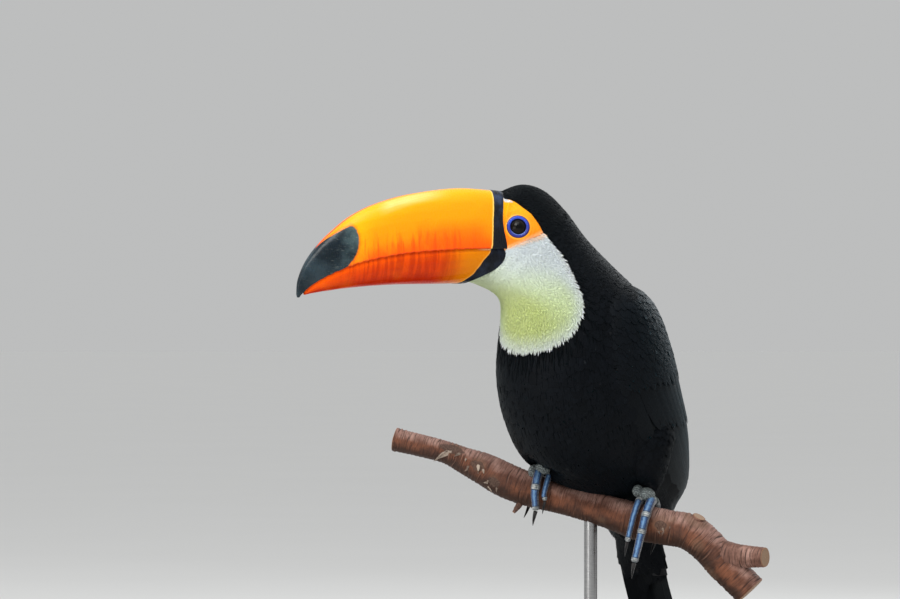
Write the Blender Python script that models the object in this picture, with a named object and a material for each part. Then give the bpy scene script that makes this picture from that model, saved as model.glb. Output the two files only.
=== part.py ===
"""A toco toucan gripping a cut length of branch, on a plain display stand.

Run with: blender --background --python part.py

Three frames are used, all in metres with +Z up.
World: the origin is the centre of the stand base's underside.
Bird: the origin is on top of the perch between the feet, +X is where the breast faces, +Y is the bird's left.
Head: the bird frame turned about the neck, so that +X runs along the bill.
"""

import math

import bmesh
import bpy
from mathutils import Matrix, Vector

MM = 0.001
# The room left between two solids that touch, and the sharpest edge that still shades as smooth.
GAP = 0.35 * MM
SHARP_ANGLE = math.radians(50)

# How many sides the sections have.
BODY_SIDES, WING_SIDES, BILL_SIDES, BRANCH_SIDES = 26, 18, 17, 16
TOE_SIDES, CLAW_SIDES, SHANK_SIDES, THIGH_SIDES = 8, 6, 10, 16

# Where things stand.
PERCH_HEIGHT = 204 * MM
PERCH_X = 8 * MM
PERCH_Y = -18 * MM
BODY_YAW = math.radians(38)
HEAD_TURN = math.radians(27)
NECK_PIVOT_X = 5 * MM
PERCH_YAW = math.radians(12)

# The culmen's base and the mouth line's height, in the bird frame before the head turns.
BILL_BASE_X = 73 * MM
MOUTH_Z = 182.4 * MM

# The body from over the tail to the bill: dorsal x, z, ventral x, z, half width, and how low the width sits.
BODY = (
    (-96, -62, -80, -69, 24, 0.0),
    (-88, -38, -64, -49, 27, 0.0),
    (-84, -16, -47, -34, 28, 0.0),
    (-84, 6, -36, -20, 36, 0.0),
    (-81, 31, 12, 1, 46.5, 0.0),
    (-75, 57, 50, 20.5, 55.5, 0.0),
    (-66, 83, 72, 50, 58.5, 0.0),
    (-56, 109, 81, 80, 58, 0.0),
    (-44, 134, 81, 107, 55, -0.02),
    (-29, 155, 79, 128, 50, -0.04),
    (-11, 171, 79, 142, 43, -0.02),
    (8, 191, 84, 150, 36.5, 0.04),
    (24, 213, 92, 155, 32, 0.08),
    (40, 227, 99, 157.5, 29, 0.10),
    (57, 231.5, 104, 158, 26, 0.08),
    (73, 225, 112, 157, 22.3, 0.04),
)
TRUNK_START, NECK_START, HEAD_START, HEAD_END = 2.0, 9.6, 11.9, 15.0
TURN_FROM, TURN_TO = 8.4, 12.4
# The line where the bill meets the face, from the culmen to the chin, before the head turns.
BILL_EDGE = ((73, 225), (79.5, 210), (81.5, 196), (82.5, 182.4), (87.5, 170), (112, 157))

# The share of that line, from the culmen to the chin, at which the mouth line meets it, and how far the bill
# starts behind it, in millimetres.
MOUTH_SHARE = 0.6
BILL_SINK = 2

# The bill's tips and how square its sections are.
UPPER_TIP, UPPER_FULLNESS = (168.8, 0, -38.0), 0.62
LOWER_TIP, LOWER_FULLNESS = (164.6, 0, -33.6), 0.72
# The bill in the head frame, from the culmen's base: ridge x, z, mouth line x, z, half width there.
UPPER_BILL = (
    (0, 44.0, 8.0, 0.4, 22.6),
    (31, 45.8, 34, 0.2, 22.8),
    (62, 43.4, 60, -1.0, 20.6),
    (94, 37.2, 86, -3.2, 17.8),
    (122, 26.4, 110, -7.2, 14.6),
    (144.5, 10.0, 130, -12.6, 11.2),
    (160, -6.6, 147, -19.8, 7.6),
    (168, -22.0, 159, -27.0, 4.2),
    (169.6, -33.6, 166.4, -34.0, 1.8),
)
LOWER_BILL = (
    (39, -25.2, 8.0, -0.4, 22.0),
    (50, -25.7, 34, -0.6, 22.2),
    (68, -26.0, 60, -1.8, 20.0),
    (90, -26.4, 86, -4.0, 17.2),
    (112, -27.6, 110, -8.0, 14.0),
    (131, -29.3, 130, -13.4, 10.6),
    (147, -31.4, 147, -20.6, 7.0),
    (157.5, -33.0, 157.5, -26.6, 3.8),
    (163.0, -34.2, 162.6, -31.0, 1.6),
)

EYE_AT = (71.2, 199.9)
EYE_SIDE = 18.2 * MM
EYE_RADIUS = 7.6 * MM

# A folded wing on the body's surface: body station, inner and outer angle from the dorsal line, thickness.
WING = (
    (9.35, 58, 84, 1.6),
    (9.05, 45, 98, 5.0),
    (8.5, 35, 106, 7.0),
    (7.7, 27, 111, 7.5),
    (6.8, 20, 112, 7.5),
    (5.9, 15, 109, 7.0),
    (5.0, 11, 104, 8.0),
    (4.2, 8, 95, 8.0),
    (3.4, 7, 80, 6.5),
    (2.6, 8, 64, 4.6),
    (1.8, 11, 50, 3.0),
    (1.1, 15, 38, 2.4),
    (0.6, 21, 30, 1.6),
)

# The wing's edge thickness, how far its tip floats off the body and the rest sinks in, in millimetres.
WING_EDGE, WING_TIP_FLOAT, WING_SINK = 1.1, 0.4, 3.0

TAIL_ROOT = Vector((-61, 0, -27)) * MM
TAIL_LEAN = math.radians(23)
TAIL = (
    (0, 19, 13),
    (22, 22, 9.5),
    (48, 24, 5.0),
    (85, 26.5, 3.2),
    (118, 28.5, 2.6),
)
TAIL_LENGTH = 152 * MM
TAIL_STEP = 18 * MM
TAIL_NOTCH = 3.2 * MM
TAIL_ARCH = 5 * MM
# The feathers' free ends: how many, where their last flat section is, their half thickness in millimetres.
TAIL_FEATHERS, TAIL_BLADE, TAIL_EDGE = 10, 0.8, 1.4
TAIL_COLUMNS = 21

# The branch's centre line in the plane it lies in: along, up, radius.
BRANCH = (
    (-150, 37.5, 8.9),
    (-131, 33.2, 8.6),
    (-112, 28.4, 8.5),
    (-98, 23.2, 9.8),
    (-83, 16.6, 12.0),
    (-66, 7.4, 13.4),
    (-47, 0.8, 12.8),
    (-22, -6.5, 11.3),
    (2, -13, 11.6),
    (22, -18.6, 12.6),
    (41, -24.2, 14.1),
    (60, -27.6, 13.4),
    (76, -31, 13.2),
    (91, -41, 13.6),
    (107, -57, 13.2),
    (124, -75, 12.6),
)
# Twigs cut short: along, angle round the branch, lean towards its right end, radius, length.
TWIGS = ((99, 25, 0.9, 8.0, 27), (-54, 176, -0.5, 2.2, 8.5), (79, 25, 0.0, 6.0, 1.6))

# The branch's cross section is a little uneven: amplitude, waves round it, turn along it.
BRANCH_WAVES = ((0.025, 3, 1.7), (0.02, 5, -2.3))
TWIG_TAPER = (1.35, 1.15, 1.0, 0.95)

# Each toe: number, front or back, sideways start and end, wrap in degrees, reach, radius, claw length.
TOES_R = (
    ("2", 1, 3.8, 8.2, (12, 88), 4, 3.0, 10),
    ("3", 1, -3.2, 2.0, (12, 92), 12, 3.8, 12),
    ("4", -1, -4.2, -8.0, (12, 100), 9, 3.6, 12),
    ("1", -1, 3.8, 6.0, (12, 92), 2, 3.1, 10),
)
TOES_L = (
    ("2", 1, -3.6, -5.0, (12, 84), 17, 3.3, 11),
    ("3", 1, 4.4, 4.6, (12, 84), 31, 4.0, 12),
    ("4", -1, 4.4, 9.0, (12, 100), 9, 3.7, 12),
    ("1", -1, -3.8, -6.0, (12, 92), 2, 3.1, 10),
)
# Each foot: its letter, how far along the branch it grips, and its toes.
FEET = (("R", -37, TOES_R), ("L", 42.5, TOES_L))
# Each thigh in the bird frame, from inside the belly down to the ankle: x, y, z and radius.
THIGHS = {
    "R": ((-14, -28, 78, 20), (-3, -38, 59, 24), (4, -41, 42, 21)),
    "L": ((-22, 26, 70, 20), (-15, 40, 49, 24), (-15, 43, 30, 21)),
}
THIGH_END = 8 * MM
ANKLE_RISE, ANKLE_RADIUS, ANKLE_GAP = 12 * MM, 7 * MM, 1.6 * MM
FOOT_HALF, FOOT_HIGH = 12 * MM, 11 * MM
KNUCKLE_RISE = 5.2 * MM
PAD_RADIUS, PAD_DROP, PAD_SCALE = 5.4 * MM, 0.4 * MM, (1.15, 1.0, 0.85)
SHANK_RADII = (3.4 * MM, 3.3 * MM, 3.6 * MM, 4.6 * MM)
# A toe thins by this share to its end, and swells at every third ring, over a joint.
TOE_THINNING, JOINT_SWELL, TOE_WAIST, TOE_END = 0.24, 1.06, 0.97, 0.62
CLAW_TAPER, CLAW_CURL = (0.56, 0.52, 0.44, 0.34, 0.22), 0.16

BASE_LENGTH, BASE_WIDTH, BASE_THICK = 290 * MM, 230 * MM, 14 * MM
BASE_CORNER, BASE_BEVEL = 24 * MM, 1.5 * MM
# The rod: its radius, and how far along the branch it stands, in millimetres.
ROD_RADIUS, ROD_ALONG = 5 * MM, 2
SOCKET_DEPTH = 8 * MM


def clear_scene():
    for thing in list(bpy.data.objects):
        bpy.data.objects.remove(thing)


def material(name, colour, roughness, metallic=0.0):
    made = bpy.data.materials.new(name)
    made.use_nodes = True
    shader = made.node_tree.nodes["Principled BSDF"]
    shader.inputs["Base Color"].default_value = (*colour, 1.0)
    shader.inputs["Roughness"].default_value = roughness
    shader.inputs["Metallic"].default_value = metallic
    return made


def at(table, t):
    """The table's row at the fractional index t, on a Catmull-Rom curve through its rows."""
    last = len(table) - 1
    k = min(max(int(math.floor(t)), 0), last - 1)
    u = t - k
    rows = [table[min(max(k + i, 0), last)] for i in (-1, 0, 1, 2)]
    return tuple(
        0.5 * (2 * b + (c - a) * u + (2 * a - 5 * b + 4 * c - d) * u * u + (3 * b - a - 3 * c + d) * u**3)
        for a, b, c, d in zip(*rows)
    )


def smooth_step(low, high, value):
    t = min(max((value - low) / (high - low), 0.0), 1.0)
    return t * t * (3 - 2 * t)


def samples(low, high, count):
    return [low + (high - low) * i / (count - 1) for i in range(count)]


def add_object(name, mesh, shade, parent=None):
    made = bpy.data.objects.new(name, mesh)
    bpy.context.scene.collection.objects.link(made)
    made.parent = parent
    if shade:
        mesh.materials.append(shade)
    return made


def add_walls(shape, rings):
    """Adds rings of equal length and the walls between them. Returns the rings' vertices."""
    rows = [[shape.verts.new(p) for p in ring] for ring in rings]
    count = len(rings[0])
    for low, high in zip(rows, rows[1:]):
        for i in range(count):
            j = (i + 1) % count
            shape.faces.new((low[i], low[j], high[j], high[i]))
    return rows


def close_to_point(shape, ring, point):
    tip = shape.verts.new(point)
    for i in range(len(ring)):
        shape.faces.new((ring[i], ring[(i + 1) % len(ring)], tip))


def close_across(shape, ring):
    """Closes a ring whose first point is its top and whose middle point is its bottom, side to side."""
    count = len(ring)
    half = count // 2
    shape.faces.new((ring[0], ring[1], ring[-1]))
    for i in range(1, half - 1):
        shape.faces.new((ring[i], ring[i + 1], ring[count - i - 1], ring[count - i]))
    shape.faces.new((ring[half - 1], ring[half], ring[half + 1]))


def close_folded(shape, ring):
    """Closes a ring whose second half runs back along its first half, or meets it in one middle point."""
    count = len(ring)
    half = count // 2
    for i in range(half - 1):
        shape.faces.new((ring[i], ring[i + 1], ring[count - 2 - i], ring[count - 1 - i]))
    if count % 2:
        shape.faces.new((ring[half - 1], ring[half], ring[half + 1]))


def solid_of(name, shape, shade, parent):
    bmesh.ops.recalc_face_normals(shape, faces=shape.faces)
    mesh = bpy.data.meshes.new(name)
    shape.to_mesh(mesh)
    shape.free()
    mesh.shade_smooth()
    mesh.set_sharp_from_angle(angle=SHARP_ANGLE)
    return add_object(name, mesh, shade, parent)


def loft(name, rings, shade=None, parent=None, point=None):
    """A closed tube over rings of equal length. It ends in a point if one is given."""
    shape = bmesh.new()
    rows = add_walls(shape, rings)
    shape.faces.new(rows[0])
    if point is None:
        close_across(shape, rows[-1])
    else:
        close_to_point(shape, rows[-1], point)
    return solid_of(name, shape, shade, parent)


def loft_arch(name, rings, point, shade, parent):
    """A closed half tube that ends in a point. Each ring is an open arch, and its flat side closes it."""
    shape = bmesh.new()
    rows = add_walls(shape, rings)
    close_to_point(shape, rows[-1], point)
    close_folded(shape, rows[0])
    return solid_of(name, shape, shade, parent)


def loft_slab(name, rings, shade, parent):
    """A closed flat body. A ring's first half is its upper side and its second half the lower, reversed."""
    shape = bmesh.new()
    rows = add_walls(shape, rings)
    close_folded(shape, rows[0])
    close_folded(shape, rows[-1])
    return solid_of(name, shape, shade, parent)


def hide(helper):
    """Keeps a cutter or a joined part out of the model."""
    helper.hide_render = True
    helper.display_type = "WIRE"
    return helper


def inflated(source, by):
    """A hidden copy of the source, grown by a distance, to cut others with."""
    graph = bpy.context.evaluated_depsgraph_get()
    mesh = bpy.data.meshes.new_from_object(source.evaluated_get(graph))
    shape = bmesh.new()
    shape.from_mesh(mesh)
    shape.normal_update()
    for vert, normal in [(v, v.normal.copy()) for v in shape.verts]:
        vert.co += normal * by * (vert.calc_shell_factor() if vert.link_faces else 1.0)
    shape.to_mesh(mesh)
    shape.free()
    made = add_object(source.name + "_cutter", mesh, None, source.parent)
    made.matrix_local = source.matrix_local.copy()
    return hide(made)


def boolean(target, tool, operation):
    modifier = target.modifiers.new(operation.lower() + "_" + tool.name, "BOOLEAN")
    modifier.operation = operation
    modifier.object = tool
    modifier.solver = "EXACT"


def join(target, parts):
    """Unites the parts with the target, and hides them."""
    for part in parts:
        boolean(target, part, "UNION")
        hide(part)


def turn_head(p, share=1.0):
    """Turns a bird-frame point about the neck by a share of the head's turn."""
    pivot = Vector((NECK_PIVOT_X, 0, 0))
    return Matrix.Rotation(-HEAD_TURN * share, 3, "Z") @ (p - pivot) + pivot


def edge_bend(v):
    """How far the face's edge at share v from culmen to chin lies off the straight line between its ends."""
    x, z = at(BILL_EDGE, v * (len(BILL_EDGE) - 1))
    (top_x, top_z), (low_x, low_z) = BILL_EDGE[0], BILL_EDGE[-1]
    return x - top_x * (1 - v) - low_x * v, z - top_z * (1 - v) - low_z * v


def body_point(t, angle):
    """A point of the body's surface at a station and an angle from the dorsal line, positive on the left."""
    dx, dz, vx, vz, width, low = at(BODY, t)
    v = (1 - math.cos(angle)) / 2
    bend_x, bend_z = edge_bend(v)
    bend = min(max((t - HEAD_START) / (HEAD_END - HEAD_START), 0.0), 1.0)
    x = dx + (vx - dx) * v + bend_x * bend
    y = width * math.sin(angle) * (1 - low * math.cos(angle))
    z = dz + (vz - dz) * v + bend_z * bend
    return turn_head(Vector((x, y, z)) * MM, smooth_step(TURN_FROM, TURN_TO, t))


def off_body(t, angle, off):
    """A point off the body's surface by a distance."""
    step = 0.02
    across = body_point(t, angle + step) - body_point(t, angle - step)
    along = body_point(t + step, angle) - body_point(t - step, angle)
    return body_point(t, angle) - across.cross(along).normalized() * off


def make_body(bird, black, white):
    """The trunk and the head in black, and the neck with the bib in white between them."""
    seam = 0.03
    parts = (
        ("trunk", TRUNK_START, NECK_START, 14, black),
        ("neck", NECK_START + seam, HEAD_START, 6, white),
        ("head", HEAD_START + seam, HEAD_END, 8, black),
    )
    made = {}
    for name, low, high, rows, shade in parts:
        angles = [2 * math.pi * i / BODY_SIDES for i in range(BODY_SIDES)]
        rings = [[body_point(t, a) for a in angles] for t in samples(low, high, rows)]
        made[name] = loft(name, rings, shade, bird)
    return made["trunk"], made["head"]


def head_point(x, y, z):
    """A head-frame point in millimetres, from the culmen's base and the mouth line, in the bird frame."""
    return turn_head(Vector((BILL_BASE_X + x * MM, y * MM, MOUTH_Z + z * MM)))


def bill_ring(table, t, fullness, upper):
    """One ring of a half bill: its outer side from the mouth line over the ridge, and a flat mouth side."""
    ridge_x, ridge_z, mouth_x, mouth_z, width = at(table, t)
    ring = []
    for share in samples(0, 1, BILL_SIDES):
        v = math.sin(math.pi * share)
        side = math.cos(math.pi * share)
        x = mouth_x + (ridge_x - mouth_x) * v
        y = math.copysign(width * abs(side) ** fullness, side)
        z = mouth_z + (ridge_z - mouth_z) * v
        if t < 1:
            x, z = towards_face(x, z, v, 1 - t, upper)
        ring.append(head_point(x, y, z))
    return ring


def towards_face(x, z, v, bend, upper):
    """Moves a point near the bill's base by a share towards its place just within the face's edge."""
    share = MOUTH_SHARE * (1 - v) if upper else MOUTH_SHARE + (1 - MOUTH_SHARE) * v
    edge_x, edge_z = at(BILL_EDGE, share * (len(BILL_EDGE) - 1))
    lift = (GAP if upper else -GAP) / MM * (1 - v)
    x += (edge_x - BILL_BASE_X / MM - BILL_SINK - x) * bend
    z += (edge_z - MOUTH_Z / MM + lift - z) * bend
    return x, z


def make_bill(bird, face_cutter, orange):
    halves = (
        ("bill_upper", UPPER_BILL, UPPER_FULLNESS, UPPER_TIP, True),
        ("bill_lower", LOWER_BILL, LOWER_FULLNESS, LOWER_TIP, False),
    )
    for name, table, fullness, tip, upper in halves:
        rings = [bill_ring(table, t, fullness, upper) for t in samples(0, len(table) - 1, 15)]
        half = loft_arch(name, rings, head_point(*tip), orange, bird)
        boolean(half, face_cutter, "DIFFERENCE")


def ball(name, centre, radius, shade, parent):
    shape = bmesh.new()
    bmesh.ops.create_uvsphere(shape, u_segments=14, v_segments=7, radius=radius)
    mesh = bpy.data.meshes.new(name)
    shape.to_mesh(mesh)
    shape.free()
    mesh.shade_smooth()
    made = add_object(name, mesh, shade, parent)
    made.location = centre
    return made


def make_eyes(bird, head, dark):
    for name, side in (("eye_L", 1), ("eye_R", -1)):
        centre = turn_head(Vector((EYE_AT[0] * MM, side * EYE_SIDE, EYE_AT[1] * MM)))
        ball(name, centre, EYE_RADIUS, dark, bird)
        socket = hide(ball(name + "_socket", centre, EYE_RADIUS + GAP, None, bird))
        boolean(head, socket, "DIFFERENCE")


def wing_ring(row, side):
    """A section across a folded wing, bent round the body's side, its inner face within the trunk."""
    t, inner, outer, thick = row
    sunk = WING_TIP_FLOAT - WING_SINK * smooth_step(1.8, 3.0, t)
    upper, lower = [], []
    for u in samples(-1, 1, WING_SIDES // 2):
        angle = math.radians(inner + (outer - inner) * (u + 1) / 2) * side
        crown = WING_EDGE + (thick - WING_EDGE) * (1 - u**4)
        upper.append(off_body(t, angle, crown * MM))
        lower.append(off_body(t, angle, sunk * MM))
    return upper + lower[::-1]


def make_wings(bird, cutters, black):
    """Both wings. Returns, for each side, a cutter that clears the wing."""
    room = {}
    for letter, side in (("L", 1), ("R", -1)):
        rings = [wing_ring(at(WING, t), side) for t in samples(0, len(WING) - 1, 15)]
        wing = loft_slab("wing_" + letter, rings, black, bird)
        bpy.context.view_layer.update()
        room[letter] = inflated(wing, GAP)
        for cutter in cutters:
            boolean(wing, cutter, "DIFFERENCE")
    return room


def make_tail(bird, trunk_cutter, black):
    """The tail: the coverts round its root, then ten long feathers, the middle pair longest."""
    down = Vector((-math.sin(TAIL_LEAN), 0, -math.cos(TAIL_LEAN)))
    back = Vector((-math.cos(TAIL_LEAN), 0, math.sin(TAIL_LEAN)))
    last = len(TAIL) - 1
    rings = []
    for t in (*samples(0, last, 8), len(TAIL)):
        length, width, thick = at(TAIL, min(t, last))
        upper, lower = [], []
        for u in samples(-1, 1, TAIL_COLUMNS):
            reach = length * MM
            if t >= last:
                notch = TAIL_NOTCH * abs(math.cos(math.pi * TAIL_FEATHERS * u / 4))
                reach = TAIL_LENGTH - TAIL_STEP * u * u - notch
            if t == last:
                reach *= TAIL_BLADE
            if t > last:
                thick = TAIL_EDGE
            bow = -TAIL_ARCH * u * u * min(1.0, t / 2)
            rise = thick * MM * math.sqrt(max(1 - u * u, 0.02))
            spot = TAIL_ROOT + down * reach + Vector((0, width * MM * u, 0)) + back * bow
            upper.append(spot + back * rise)
            lower.append(spot - back * rise)
        rings.append(upper + lower[::-1])
    tail = loft_slab("tail", rings, black, bird)
    boolean(tail, trunk_cutter, "DIFFERENCE")
    return tail


def upright_axes(direction):
    """The direction at right angles to this one that is nearest to up, and the direction across both."""
    up = (Vector((0, 0, 1)) - direction * direction.z).normalized()
    return up, direction.cross(up)


def branch_at(t):
    """The branch's centre, direction and radius at a row of its table, in the world frame."""
    step = 0.01
    along, up, radius = at(BRANCH, t)
    ahead = at(BRANCH, min(t + step, len(BRANCH) - 1))
    behind = at(BRANCH, max(t - step, 0))
    run = Vector((math.cos(PERCH_YAW), -math.sin(PERCH_YAW), 0))
    rise = Vector((0, 0, 1))
    centre = Vector((PERCH_X, PERCH_Y, PERCH_HEIGHT)) + (run * along + rise * up) * MM
    direction = (run * (ahead[0] - behind[0]) + rise * (ahead[1] - behind[1])).normalized()
    return centre, direction, radius * MM


def branch_spot(along):
    """The branch's centre, direction and radius at a distance along its plane, in millimetres."""
    low, high = 0, len(BRANCH) - 1
    for _ in range(30):
        middle = (low + high) / 2
        if at(BRANCH, middle)[0] < along:
            low = middle
        else:
            high = middle
    return branch_at(low)


def tube_rings(path, radii, count):
    """Rings round a path, kept from twisting by one fixed sideways direction."""
    rings = []
    for i, (centre, radius) in enumerate(zip(path, radii)):
        direction = (path[min(i + 1, len(path) - 1)] - path[max(i - 1, 0)]).normalized()
        side = direction.cross(Vector((0, 1, 0.2)))
        if side.length < 0.2:
            side = direction.cross(Vector((1, 0, 0)))
        side.normalize()
        other = direction.cross(side).normalized()
        angles = [2 * math.pi * k / count for k in range(count)]
        rings.append([centre + (side * math.cos(a) + other * math.sin(a)) * radius for a in angles])
    return rings


def branch_ring(t):
    centre, direction, radius = branch_at(t)
    up, side = upright_axes(direction)
    ring = []
    for k in range(BRANCH_SIDES):
        a = 2 * math.pi * k / BRANCH_SIDES
        wave = 1 + sum(size * math.sin(waves * a + turn * t) for size, waves, turn in BRANCH_WAVES)
        ring.append(centre + (up * math.cos(a) + side * math.sin(a)) * radius * wave)
    return ring


def make_branch(bark):
    """The branch with its twigs cut short."""
    branch = loft("perch_branch", [branch_ring(t) for t in samples(0, len(BRANCH) - 1, 22)], bark)
    stubs = []
    for n, (along, angle, lean, thin, length) in enumerate(TWIGS):
        centre, direction, radius = branch_spot(along)
        up, side = upright_axes(direction)
        out = up * math.cos(math.radians(angle)) + side * math.sin(math.radians(angle))
        heading = (out + direction * lean).normalized()
        start, end = radius * 0.4, radius + length * MM
        path = [centre + heading * s for s in samples(start, end, len(TWIG_TAPER))]
        stubs.append(loft(f"twig_{n}", tube_rings(path, [thin * MM * k for k in TWIG_TAPER], 10)))
    join(branch, stubs)
    return branch


def foot_frame(along):
    """Where a foot grips: the branch's centre, direction and radius, up off it and forwards across it."""
    centre, direction, radius = branch_spot(along)
    up, side = upright_axes(direction)
    front = side if side.y < 0 else -side
    return centre, direction, radius, up, front


def foot_space(side, along):
    """The room a foot takes round the branch, to clear the belly by."""
    centre, direction, radius, _, _ = foot_frame(along)
    ends = [centre - direction * FOOT_HALF, centre + direction * FOOT_HALF]
    return hide(loft("foot_space_" + side, tube_rings(ends, [radius + FOOT_HIGH] * 2, 24)))


def toe_path(along, toe):
    """A toe's centre line over the branch and then straight on, its radii, and its end's two directions."""
    centre, direction, radius, up, front = foot_frame(along)
    _, way, start, end, wrap, reach, thick, _ = toe
    out = radius + thick * MM + 2 * GAP
    low, high = (math.radians(angle) for angle in wrap)
    path = [centre + (up * math.cos(b) + front * way * math.sin(b)) * out for b in samples(low, high, 5)]
    ahead = front * way * math.cos(high) - up * math.sin(high)
    inward = -front * way * math.sin(high) - up * math.cos(high)
    path += [path[-1] + ahead * reach * share * MM for share in (0.5, 1.0)]
    # The toe drifts sideways at an even rate round the branch, and twice as fast over its straight end.
    drift = (*samples(0, 0.5, 5), 0.75, 1.0)
    path = [p + direction * (start + (end - start) * share) * MM for p, share in zip(path, drift)]
    last = len(path) - 1
    radii = []
    for i in range(last + 1):
        swell = TOE_WAIST if i % 3 else JOINT_SWELL
        radii.append(thick * MM * (1 - TOE_THINNING * i / last) * swell)
    return path, radii, ahead, inward


def claw_path(start, direction, inward, length):
    """A claw's curved line, from the toe's end, bending towards the branch."""
    path = [start]
    heading = direction.normalized()
    for _ in CLAW_TAPER:
        heading = (heading + inward * CLAW_CURL).normalized()
        path.append(path[-1] + heading * length / len(CLAW_TAPER))
    return path


def make_foot(side, along, toes, skin, horn, ankle):
    """One foot: the shank, the pad and four toes as one piece, and a claw on each toe."""
    centre, _, radius, up, _ = foot_frame(along)
    knuckle = centre + up * (radius + KNUCKLE_RISE + 2 * GAP)
    shank_path = [ankle.lerp(knuckle, share) for share in samples(0, 1, len(SHANK_RADII))]
    foot = loft("foot_" + side, tube_rings(shank_path, SHANK_RADII, SHANK_SIDES), skin)
    pad = ball("pad_" + side, knuckle - up * PAD_DROP, PAD_RADIUS, None, None)
    pad.scale = PAD_SCALE
    pieces = [pad]
    for toe in toes:
        number, claw_length = toe[0], toe[7] * MM
        path, radii, ahead, inward = toe_path(along, toe)
        tip = path[-1] + ahead * radii[-1] * 0.8
        rings = tube_rings([*path, tip], [*radii, radii[-1] * TOE_END], TOE_SIDES)
        pieces.append(loft(f"toe_{side}_{number}", rings))
        claw = claw_path(tip + ahead * GAP, ahead, inward, claw_length)
        claw_rings = tube_rings(claw[:-1], [radii[-1] * k for k in CLAW_TAPER], CLAW_SIDES)
        loft(f"claw_{side}_{number}", claw_rings, horn, None, claw[-1])
    join(foot, pieces)


def make_legs(bird, cutters, wing_room, black, skin, horn):
    """Each leg: the feathered thigh down from the belly, then the bare foot."""
    to_bird = bird.matrix_world.inverted()
    for side, along, toes in FEET:
        centre, _, radius, up, _ = foot_frame(along)
        end = centre + up * (radius + ANKLE_RISE)
        ankle = to_bird @ end
        rows = [tuple(c * MM for c in row) for row in THIGHS[side]]
        rows.append((ankle.x, ankle.y, ankle.z + THIGH_END, ANKLE_RADIUS * 1.7))
        rows.append((ankle.x, ankle.y, ankle.z, ANKLE_RADIUS))
        curve = [at(rows, t) for t in samples(0, len(rows) - 1, 9)]
        rings = tube_rings([Vector(row[:3]) for row in curve], [row[3] for row in curve], THIGH_SIDES)
        thigh = loft("thigh_" + side, rings, black, bird)
        for cutter in (*cutters, wing_room[side]):
            boolean(thigh, cutter, "DIFFERENCE")
        make_foot(side, along, toes, skin, horn, end - Vector((0, 0, ANKLE_GAP)))


def make_base(finish):
    """A flat plate with round corners and eased edges."""
    shape = bmesh.new()
    outline = []
    for k, (way_x, way_y) in enumerate(((1, 1), (-1, 1), (-1, -1), (1, -1))):
        for share in samples(0, 1, 7):
            a = math.pi / 2 * (k + share)
            x = way_x * (BASE_LENGTH / 2 - BASE_CORNER) + BASE_CORNER * math.cos(a)
            y = way_y * (BASE_WIDTH / 2 - BASE_CORNER) + BASE_CORNER * math.sin(a)
            outline.append(shape.verts.new((x, y, 0)))
    face = shape.faces.new(outline)
    made = bmesh.ops.extrude_face_region(shape, geom=[face])
    top = [e for e in made["geom"] if isinstance(e, bmesh.types.BMVert)]
    bmesh.ops.translate(shape, verts=top, vec=(0, 0, BASE_THICK))
    base = solid_of("stand_base", shape, finish, None)
    bevel = base.modifiers.new("eased_edges", "BEVEL")
    bevel.width = BASE_BEVEL
    bevel.segments = 2
    bevel.angle_limit = math.radians(60)
    return base


def cylinder(name, foot, top, radius, shade):
    shape = bmesh.new()
    depth = top.z - foot.z
    bmesh.ops.create_cone(shape, cap_ends=True, segments=24, radius1=radius, radius2=radius, depth=depth)
    made = solid_of(name, shape, shade, None)
    made.location = (foot + top) / 2
    return made


def make_stand(branch, metal, finish):
    """The base, and the rod that stands in it and holds the branch from below."""
    base = make_base(finish)
    centre, _, radius = branch_spot(ROD_ALONG)
    foot = Vector((centre.x, centre.y, BASE_THICK - SOCKET_DEPTH + GAP))
    top = Vector((centre.x, centre.y, centre.z - GAP))
    cylinder("stand_rod", foot, top, ROD_RADIUS, metal)
    clear = Vector((0, 0, 2 * GAP))
    above_base = foot + Vector((0, 0, 4 * SOCKET_DEPTH))
    below_branch = top - Vector((0, 0, 3 * radius))
    for host, low, high in ((base, foot - clear, above_base), (branch, below_branch, top + clear)):
        hole = hide(cylinder(host.name + "_hole", low, high, ROD_RADIUS + GAP, None))
        boolean(host, hole, "DIFFERENCE")


def main():
    clear_scene()
    black = material("plumage_black", (0.012, 0.013, 0.016), 0.45)
    white = material("plumage_white", (0.82, 0.83, 0.68), 0.7)
    orange = material("bill_orange", (0.95, 0.36, 0.02), 0.25)
    dark = material("eye_dark", (0.02, 0.012, 0.01), 0.05)
    skin = material("foot_blue", (0.25, 0.36, 0.5), 0.45)
    horn = material("claw_horn", (0.05, 0.05, 0.055), 0.35)
    bark = material("bark", (0.3, 0.16, 0.11), 0.85)
    metal = material("rod_steel", (0.6, 0.6, 0.6), 0.35, 1.0)
    finish = material("base_grey", (0.55, 0.55, 0.54), 0.5)

    bird = bpy.data.objects.new("bird", None)
    bpy.context.scene.collection.objects.link(bird)
    bird.location = (PERCH_X, PERCH_Y, PERCH_HEIGHT)
    bird.rotation_euler = (0, 0, -(math.pi / 2 + BODY_YAW))
    bpy.context.view_layer.update()

    branch = make_branch(bark)
    trunk, head = make_body(bird, black, white)
    bpy.context.view_layer.update()
    branch_cutter = inflated(branch, GAP)
    trunk_cutter = inflated(trunk, 1.6 * GAP)
    boolean(trunk, branch_cutter, "DIFFERENCE")
    for side, along, _ in FEET:
        boolean(trunk, foot_space(side, along), "DIFFERENCE")
    make_bill(bird, inflated(head, GAP), orange)
    make_eyes(bird, head, dark)
    tail = make_tail(bird, trunk_cutter, black)
    bpy.context.view_layer.update()
    tail_cutter = inflated(tail, GAP)
    wing_room = make_wings(bird, (trunk_cutter, tail_cutter), black)
    make_legs(bird, (trunk_cutter, branch_cutter), wing_room, black, skin, horn)
    make_stand(branch, metal, finish)


main()
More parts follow.
